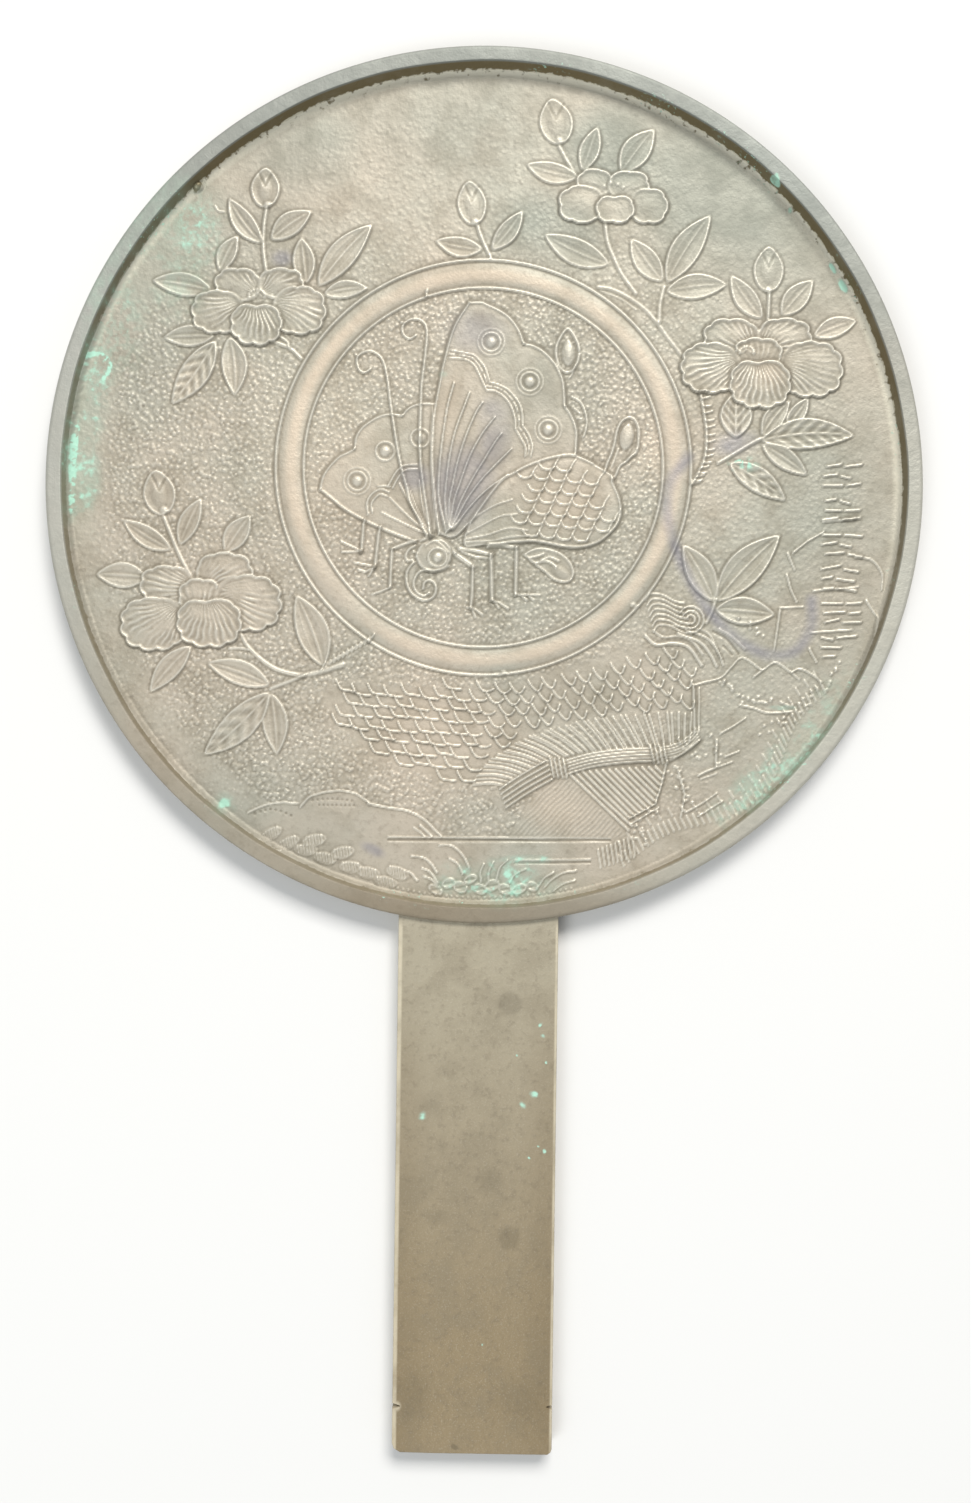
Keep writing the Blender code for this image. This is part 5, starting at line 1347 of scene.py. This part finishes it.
def make_handle():
    """The flat handle: an outline with two worn corners and a file cut in each side near the end."""
    root = RIM_RADIUS - 1.5
    spread = math.asin(HANDLE_HALF / root)
    turns = np.linspace(spread, -spread, 13)
    arc = [(root * math.sin(turn), -root * math.cos(turn)) for turn in turns]
    left = [(-HANDLE_HALF, -120.0), (-HANDLE_HALF, -167.9), (-HANDLE_HALF + 1.35, -168.35),
            (-HANDLE_HALF + 1.35, -168.55), (-HANDLE_HALF, -168.9), (-HANDLE_HALF, -175.2),
            (-HANDLE_HALF + 0.35, -176.2), (-HANDLE_HALF + 1.5, -176.85), (-8.0, -176.95)]
    right = [(9.0, HANDLE_END), (HANDLE_HALF - 0.8, HANDLE_END), (HANDLE_HALF - 0.2, -176.6),
             (HANDLE_HALF, -176.0), (HANDLE_HALF, -168.7), (HANDLE_HALF - 1.0, -168.45),
             (HANDLE_HALF - 1.0, -168.2), (HANDLE_HALF, -167.9), (HANDLE_HALF, -120.0)]
    bm = bmesh.new()
    face = bm.faces.new([bm.verts.new((x * MM, y * MM, 0.0)) for x, y in left + right + arc])
    grown = bmesh.ops.extrude_face_region(bm, geom=[face], use_keep_orig=True)
    for element in grown["geom"]:
        if isinstance(element, bmesh.types.BMVert):
            element.co.z = HANDLE_Z * MM
    bmesh.ops.recalc_face_normals(bm, faces=bm.faces[:])
    level = [edge for edge in bm.edges
             if abs(edge.verts[0].co.z - edge.verts[1].co.z) < 1e-9]
    bmesh.ops.bevel(bm, geom=level, offset=0.32 * MM, affect="EDGES", segments=3, profile=0.5,
                    material=-1, clamp_overlap=True)
    mesh = bpy.data.meshes.new("handle")
    bm.to_mesh(mesh)
    bm.free()
    made = bpy.data.objects.new("handle", mesh)
    bpy.context.scene.collection.objects.link(made)
    return made


class Nodes:
    """Short calls for building a material's nodes."""

    def __init__(self, name):
        self.material = bpy.data.materials.new(name)
        self.material.use_nodes = True
        self.tree = self.material.node_tree
        self.shader = self.tree.nodes["Principled BSDF"]

    def put(self, socket, value):
        """Links a socket to another node's output, or sets its value."""
        if isinstance(value, bpy.types.NodeSocket):
            self.tree.links.new(value, socket)
        else:
            socket.default_value = value

    def add(self, kind, inputs=(), output=0, **settings):
        """Adds a node and gives one of its outputs."""
        node = self.tree.nodes.new(kind)
        for key, value in settings.items():
            setattr(node, key, value)
        for key, value in dict(inputs).items():
            self.put(node.inputs[key], value)
        return node.outputs[output]

    def math(self, operation, a, b=0.0):
        return self.add("ShaderNodeMath", {0: a, 1: b}, operation=operation)

    def times(self, first, *others):
        """The product of some values."""
        for other in others:
            first = self.math("MULTIPLY", first, other)
        return first

    def strongest(self, first, *others):
        """The greatest of some values."""
        for other in others:
            first = self.math("MAXIMUM", first, other)
        return first

    def step(self, value, low, high, start=0.0, end=1.0):
        """A soft rise from start to end as a value goes from low to high."""
        return self.add("ShaderNodeMapRange", {"Value": value, "From Min": low, "From Max": high,
                                               "To Min": start, "To Max": end},
                        interpolation_type="SMOOTHSTEP")

    def noise(self, place, scale, detail):
        return self.add("ShaderNodeTexNoise", {"Vector": place, "Scale": scale, "Detail": detail,
                                               "Roughness": 0.55})

    def mix(self, share, a, b):
        """A share of the way from one colour to another."""
        node = self.tree.nodes.new("ShaderNodeMix")
        node.data_type = "RGBA"
        self.put(node.inputs[0], share)
        self.put(node.inputs[6], a)
        self.put(node.inputs[7], b)
        return node.outputs[2]

    def blend(self, share, a, b):
        """A share of the way from one value to another."""
        node = self.tree.nodes.new("ShaderNodeMix")
        self.put(node.inputs[0], share)
        self.put(node.inputs[2], a)
        self.put(node.inputs[3], b)
        return node.outputs[0]

    def attribute(self, name):
        return self.add("ShaderNodeAttribute", output="Fac", attribute_name=name)

    def spot(self, place, x, y, radius, soft):
        """A soft round patch about a drawn place in millimetres."""
        away = self.add("ShaderNodeVectorMath", {0: place, 1: (x * MM, y * MM, HANDLE_Z * MM)},
                        output="Value", operation="DISTANCE")
        return self.step(away, radius * MM, (radius - soft) * MM)


def colour(r, g, b):
    """A colour from display values between 0 and 255."""
    parts = [((v / 255 + 0.055) / 1.055) ** 2.4 if v > 10 else v / 3294.6 for v in (r, g, b)]
    return (*parts, 1.0)


# Brown and green spots on the handle, and green ones on the rim: centre, radius, softness; a
# brown one has its strength too. All in millimetres.
BROWN_SPOTS = [(6.6, -93.8, 3.0, 1.6, 0.20), (7.2, -136.8, 2.6, 1.4, 0.24),
               (3.4, -126.0, 3.6, 3.0, 0.16), (-10.0, -165.5, 6.5, 5.5, 0.16),
               (9.5, -166.5, 7.0, 6.0, 0.14), (-6.5, -133.0, 2.6, 2.2, 0.12),
               (-8.0, -112.5, 3.4, 3.0, 0.12), (-2.4, -174.9, 0.8, 0.4, 0.35)]
GREEN_SPOTS = [(-9.2, -114.6, 1.2, 1.2), (11.4, -110.2, 1.0, 0.7), (9.4, -112.4, 0.8, 0.6),
               (12.4, -97.6, 0.6, 0.5), (13.0, -99.6, 0.5, 0.4), (13.4, -120.6, 0.6, 0.5),
               (12.1, -119.8, 0.4, 0.3), (10.6, -121.8, 0.4, 0.3), (8.2, -103.2, 0.4, 0.3),
               (13.6, -104.4, 0.4, 0.3), (2.6, -156.2, 0.4, 0.4), (53.4, 57.2, 1.4, 0.4),
               (63.7, 42.9, 1.2, 0.3)]


class Bronze(Nodes):
    """Aged bronze: mottled olive tan, brown in the hollows with painted shade, pale on worn crests
    with painted highlight, green in places.

    Lengths here are in metres, except in a spot. The tone is the colour so far: each method lays
    shares of other colours over it.
    """

    def __init__(self):
        super().__init__("aged_bronze")
        self.place = self.add("ShaderNodeTexCoord", output="Object")
        axes = self.tree.nodes.new("ShaderNodeSeparateXYZ")
        self.put(axes.inputs[0], self.place)
        self.x, self.y, self.z = axes.outputs
        self.reach = self.math("SQRT", self.math("ADD", self.times(self.x, self.x),
                                                 self.times(self.y, self.y)))
        self.middle = self.noise(self.place, 160.0, 4.0)
        self.small = self.noise(self.place, 900.0, 3.0)
        self.grain = self.noise(self.place, 3200.0, 2.0)
        self.crest = self.attribute("crest")
        self.hollow = self.attribute("hollow")
        olive_tan = colour(168, 158, 142)
        grey_tan = colour(156, 153, 139)
        broad = self.noise(self.place, 28.0, 4.0)
        self.tone = self.mix(self.step(broad, 0.35, 0.68), olive_tan, grey_tan)

    def lay(self, shade, *shares):
        """Lays the product of some shares of a display colour over the tone."""
        self.tone = self.mix(self.times(*shares), self.tone, colour(*shade))

    def slant(self, a, b):
        """How far a place is along a slanted line in plan."""
        return self.math("ADD", self.times(self.x, a), self.times(self.y, b))

    def ragged(self, value, amount):
        """A value made uneven by the small mottling."""
        return self.math("ADD", value, self.times(self.math("SUBTRACT", self.small, 0.5), amount))

    def band(self, start, inner, outer, end):
        """A ring about the disc's centre, soft from start to inner and from outer to end."""
        return self.times(self.step(self.reach, start, inner), self.step(self.reach, end, outer))

    def mottle(self):
        """The handle's tan, partly painted shade; the mottling; film and hollows, partly painted
        shade; crests' wear, partly painted highlight.
        """
        # The handle's warmer, darker tan, deepening towards its end: partly its own tone, partly
        # painted shade.
        self.lay((156, 148, 128), self.step(self.y, -0.068, -0.084))
        self.lay((132, 117, 90), self.step(self.y, -0.072, -0.165))
        self.lay((123, 114, 95), self.step(self.middle, 0.42, 0.70), 0.35)
        self.lay((100, 90, 74), self.step(self.small, 0.50, 0.72), 0.25)
        self.lay((176, 169, 154), self.step(self.grain, 0.52, 0.75), 0.22)
        self.lay((195, 178, 157), self.attribute("warmth"), 0.72)
        # The grey-green film: partly real film, partly painted shade that darkens the top and the
        # upper right.
        self.lay((120, 126, 116), self.attribute("film_and_top_shade"), 0.68)
        # Hollows darkened: partly patina, partly painted shade.
        self.lay((87, 79, 62), self.hollow, 0.42)
        # Crests paled: partly wear, partly painted highlight.
        self.lay((193, 188, 174), self.crest, 0.62)

    def colour_wall(self):
        """The wall's dark line, part dirt, part painted shade deepening at the far side; and painted
        light on the far foot.
        """
        north = self.step(self.slant(0.26, 0.93), -0.01, 0.05)
        foot = self.math("SUBTRACT", self.ragged(self.z, 0.0022),
                         self.step(north, 0.0, 1.0, 0.0029, 0.0022))
        # Painted light: a pale colour on the foot of the wall's far side and the field beside it,
        # which cancels the key light's shadow there.
        self.lay((216, 211, 192), self.band(0.0748, 0.0761, 0.0770, 0.0774),
                 self.step(foot, 0.0004, 0.0), north, 0.78)
        # The dark line on the wall: partly dark dirt, partly painted shade that deepens towards the
        # far side.
        self.lay((112, 100, 70), self.step(foot, 0.0, 0.0004), self.step(self.z, 0.0049, 0.0045),
                 self.band(0.0754, 0.0757, 0.0775, 0.0777),
                 self.step(self.middle, 0.2, 0.55, 0.75, 1.0),
                 self.step(north, 0.0, 1.0, 0.50, 0.95))

    def colour_rim(self):
        """The rim's top, partly painted light and shade: grey at the far side, pale at right and
        left, browner by the handle.
        """
        rim = self.times(self.step(self.reach, 0.0768, 0.0772), self.step(self.z, 0.0044, 0.0048))
        # These rim tones are partly the rim's own colour and partly painted light and shade.
        self.lay((125, 128, 122), rim, self.step(self.y, -0.05, 0.06), 0.85)
        self.lay((168, 168, 158), rim, self.step(self.slant(1.0, -0.8), 0.045, 0.095), 0.55)
        self.lay((166, 166, 158), rim, self.step(self.x, -0.060, -0.077), 0.5)
        self.lay((121, 111, 93), rim, self.step(self.slant(0.35, 1.0), -0.03, -0.085), 0.5)
        self.lay((100, 84, 62), rim, self.step(self.y, -0.071, -0.0775), 0.35)

    def colour_handle(self):
        """The handle's browned flanks, its bright worn edges, and its bright left notch."""
        aside = self.math("ABSOLUTE", self.x)
        self.lay((104, 88, 60), self.step(aside, 0.007, 0.0135), self.step(self.y, -0.085, -0.11),
                 0.22)
        edge = self.math("SUBTRACT", aside, self.times(self.x, 0.01))
        worn = self.times(self.step(edge, 0.0138, 0.0142), self.step(self.y, -0.0795, -0.081))
        worn = self.strongest(worn, self.spot(self.place, -14.0, -168.4, 1.3, 0.8))
        self.lay((206, 196, 172), worn, self.step(self.middle, 0.3, 0.6, 0.25, 0.6))

    def corrode(self):
        """Blue-grey stains, brown spots, then green bloom and crust; gives the crust's share."""
        self.lay((116, 115, 126), self.attribute("stain"),
                 self.step(self.middle, 0.25, 0.6, 0.6, 1.0))
        shift = self.add("ShaderNodeTexNoise", {"Vector": self.place, "Scale": 420.0},
                         output="Color")
        shift = self.add("ShaderNodeVectorMath", {0: shift, 1: (0.0016, 0.0016, 0.0)},
                         operation="MULTIPLY")
        uneven = self.add("ShaderNodeVectorMath", {0: self.place, 1: shift}, operation="ADD")
        brown = [self.times(self.spot(uneven, *spot), amount) for *spot, amount in BROWN_SPOTS]
        self.lay((65, 59, 44), self.strongest(*brown))
        spots = self.strongest(*[self.spot(uneven, *spot) for spot in GREEN_SPOTS])
        flecks = self.times(self.step(self.noise(self.place, 1500.0, 2.0), 0.60, 0.68),
                            self.step(self.noise(self.place, 70.0, 2.0), 0.50, 0.62),
                            self.band(0.0745, 0.0765, 0.0775, 0.0785), 0.75)
        green = self.strongest(self.attribute("verdigris"), self.times(spots, 0.8), flecks)
        crust = self.step(self.ragged(green, 1.1), 0.40, 0.96)
        self.lay((148, 164, 148), self.step(green, 0.0, 0.5), 0.5)
        self.lay((156, 198, 177), crust, 0.9)
        return crust

    def connect(self, crust):
        """Joins all to the shader: smoother on crests, duller in hollows and on crust, pitted."""
        rough = self.step(self.middle, 0.3, 0.7, 0.57, 0.66)
        for share, value in ((self.hollow, 0.78), (self.crest, 0.48), (crust, 0.85)):
            rough = self.blend(share, rough, value)
        bump = {}
        for strength, depth, height in ((0.35, 0.00010, self.grain), (0.45, 0.00022, self.small),
                                        (0.35, 0.0004, self.middle)):
            bump.update({"Strength": strength, "Distance": depth, "Height": height})
            bump["Normal"] = self.add("ShaderNodeBump", bump)
        metal = self.math("SUBTRACT", 0.50, self.times(crust, 0.45))
        for name, value in (("Base Color", self.tone), ("Metallic", metal), ("Roughness", rough),
                            ("Normal", bump["Normal"])):
            self.put(self.shader.inputs[name], value)


def make_bronze():
    """The one material of all the mirror's pieces."""
    bronze = Bronze()
    bronze.mottle()
    bronze.colour_wall()
    bronze.colour_rim()
    bronze.colour_handle()
    bronze.connect(bronze.corrode())
    return bronze.material


def make_floor():
    """The pale floor that the mirror lies on, which is only staged."""
    bm = bmesh.new()
    bmesh.ops.create_grid(bm, x_segments=1, y_segments=1, size=3.0)
    mesh = bpy.data.meshes.new("floor")
    bm.to_mesh(mesh)
    bm.free()
    floor = bpy.data.objects.new("floor", mesh)
    bpy.context.scene.collection.objects.link(floor)
    n = Nodes("pale_floor")
    place = n.add("ShaderNodeTexCoord", output="Object")
    tint = n.mix(n.noise(place, 2.0, 3.0), colour(198, 197, 194), colour(204, 203, 200))
    n.put(n.shader.inputs["Base Color"], tint)
    n.put(n.shader.inputs["Roughness"], 0.85)
    floor.data.materials.append(n.material)


def make_light(name, place, target, size, power, tint):
    """One rectangular lamp, aimed at a target."""
    data = bpy.data.lights.new(name, "AREA")
    data.shape = "RECTANGLE"
    data.size = size[0]
    data.size_y = size[1]
    data.energy = power
    data.color = tint
    lamp = bpy.data.objects.new(name, data)
    lamp.location = place
    lamp.rotation_euler = (Vector(target) - Vector(place)).to_track_quat("-Z", "Y").to_euler()
    bpy.context.scene.collection.objects.link(lamp)


def make_studio():
    """Soft light from beyond the disc's far edge, a weak fill, and a pale surround."""
    make_light("key", (0.31, 1.14, 1.20), (0.0, 0.0, 0.0), (0.90, 0.60), 40.0, (1.0, 0.985, 0.965))
    make_light("fill", (-0.5, -0.8, 1.0), (0.0, -0.05, 0.0), (0.7, 0.7), 9.0, (0.95, 0.98, 1.0))
    world = bpy.data.worlds.new("studio")
    world.use_nodes = True
    world.node_tree.nodes["Background"].inputs["Color"].default_value = (0.86, 0.90, 0.95, 1.0)
    world.node_tree.nodes["Background"].inputs["Strength"].default_value = 0.55
    bpy.context.scene.world = world
    bpy.context.scene.view_settings.view_transform = "Standard"


def make_camera():
    """The camera of the photo: straight above, turned a little."""
    data = bpy.data.cameras.new("camera")
    data.lens = 34.23
    data.sensor_width = 36.0
    data.clip_start = 0.01
    camera = bpy.data.objects.new("camera", data)
    camera.location = (0.00087, -0.04866, 0.265)
    camera.rotation_euler = (0.0, 0.0, math.radians(0.75))
    bpy.context.scene.collection.objects.link(camera)
    bpy.context.scene.camera = camera


def main():
    make_camera()
    make_studio()
    make_floor()
    bronze = make_bronze()
    body = make_body(bronze)
    pieces = [body] + make_field(finish_field(carve_field()), bronze)
    for piece in pieces:
        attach(piece, "root")
    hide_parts("bronze_mirror")


main()
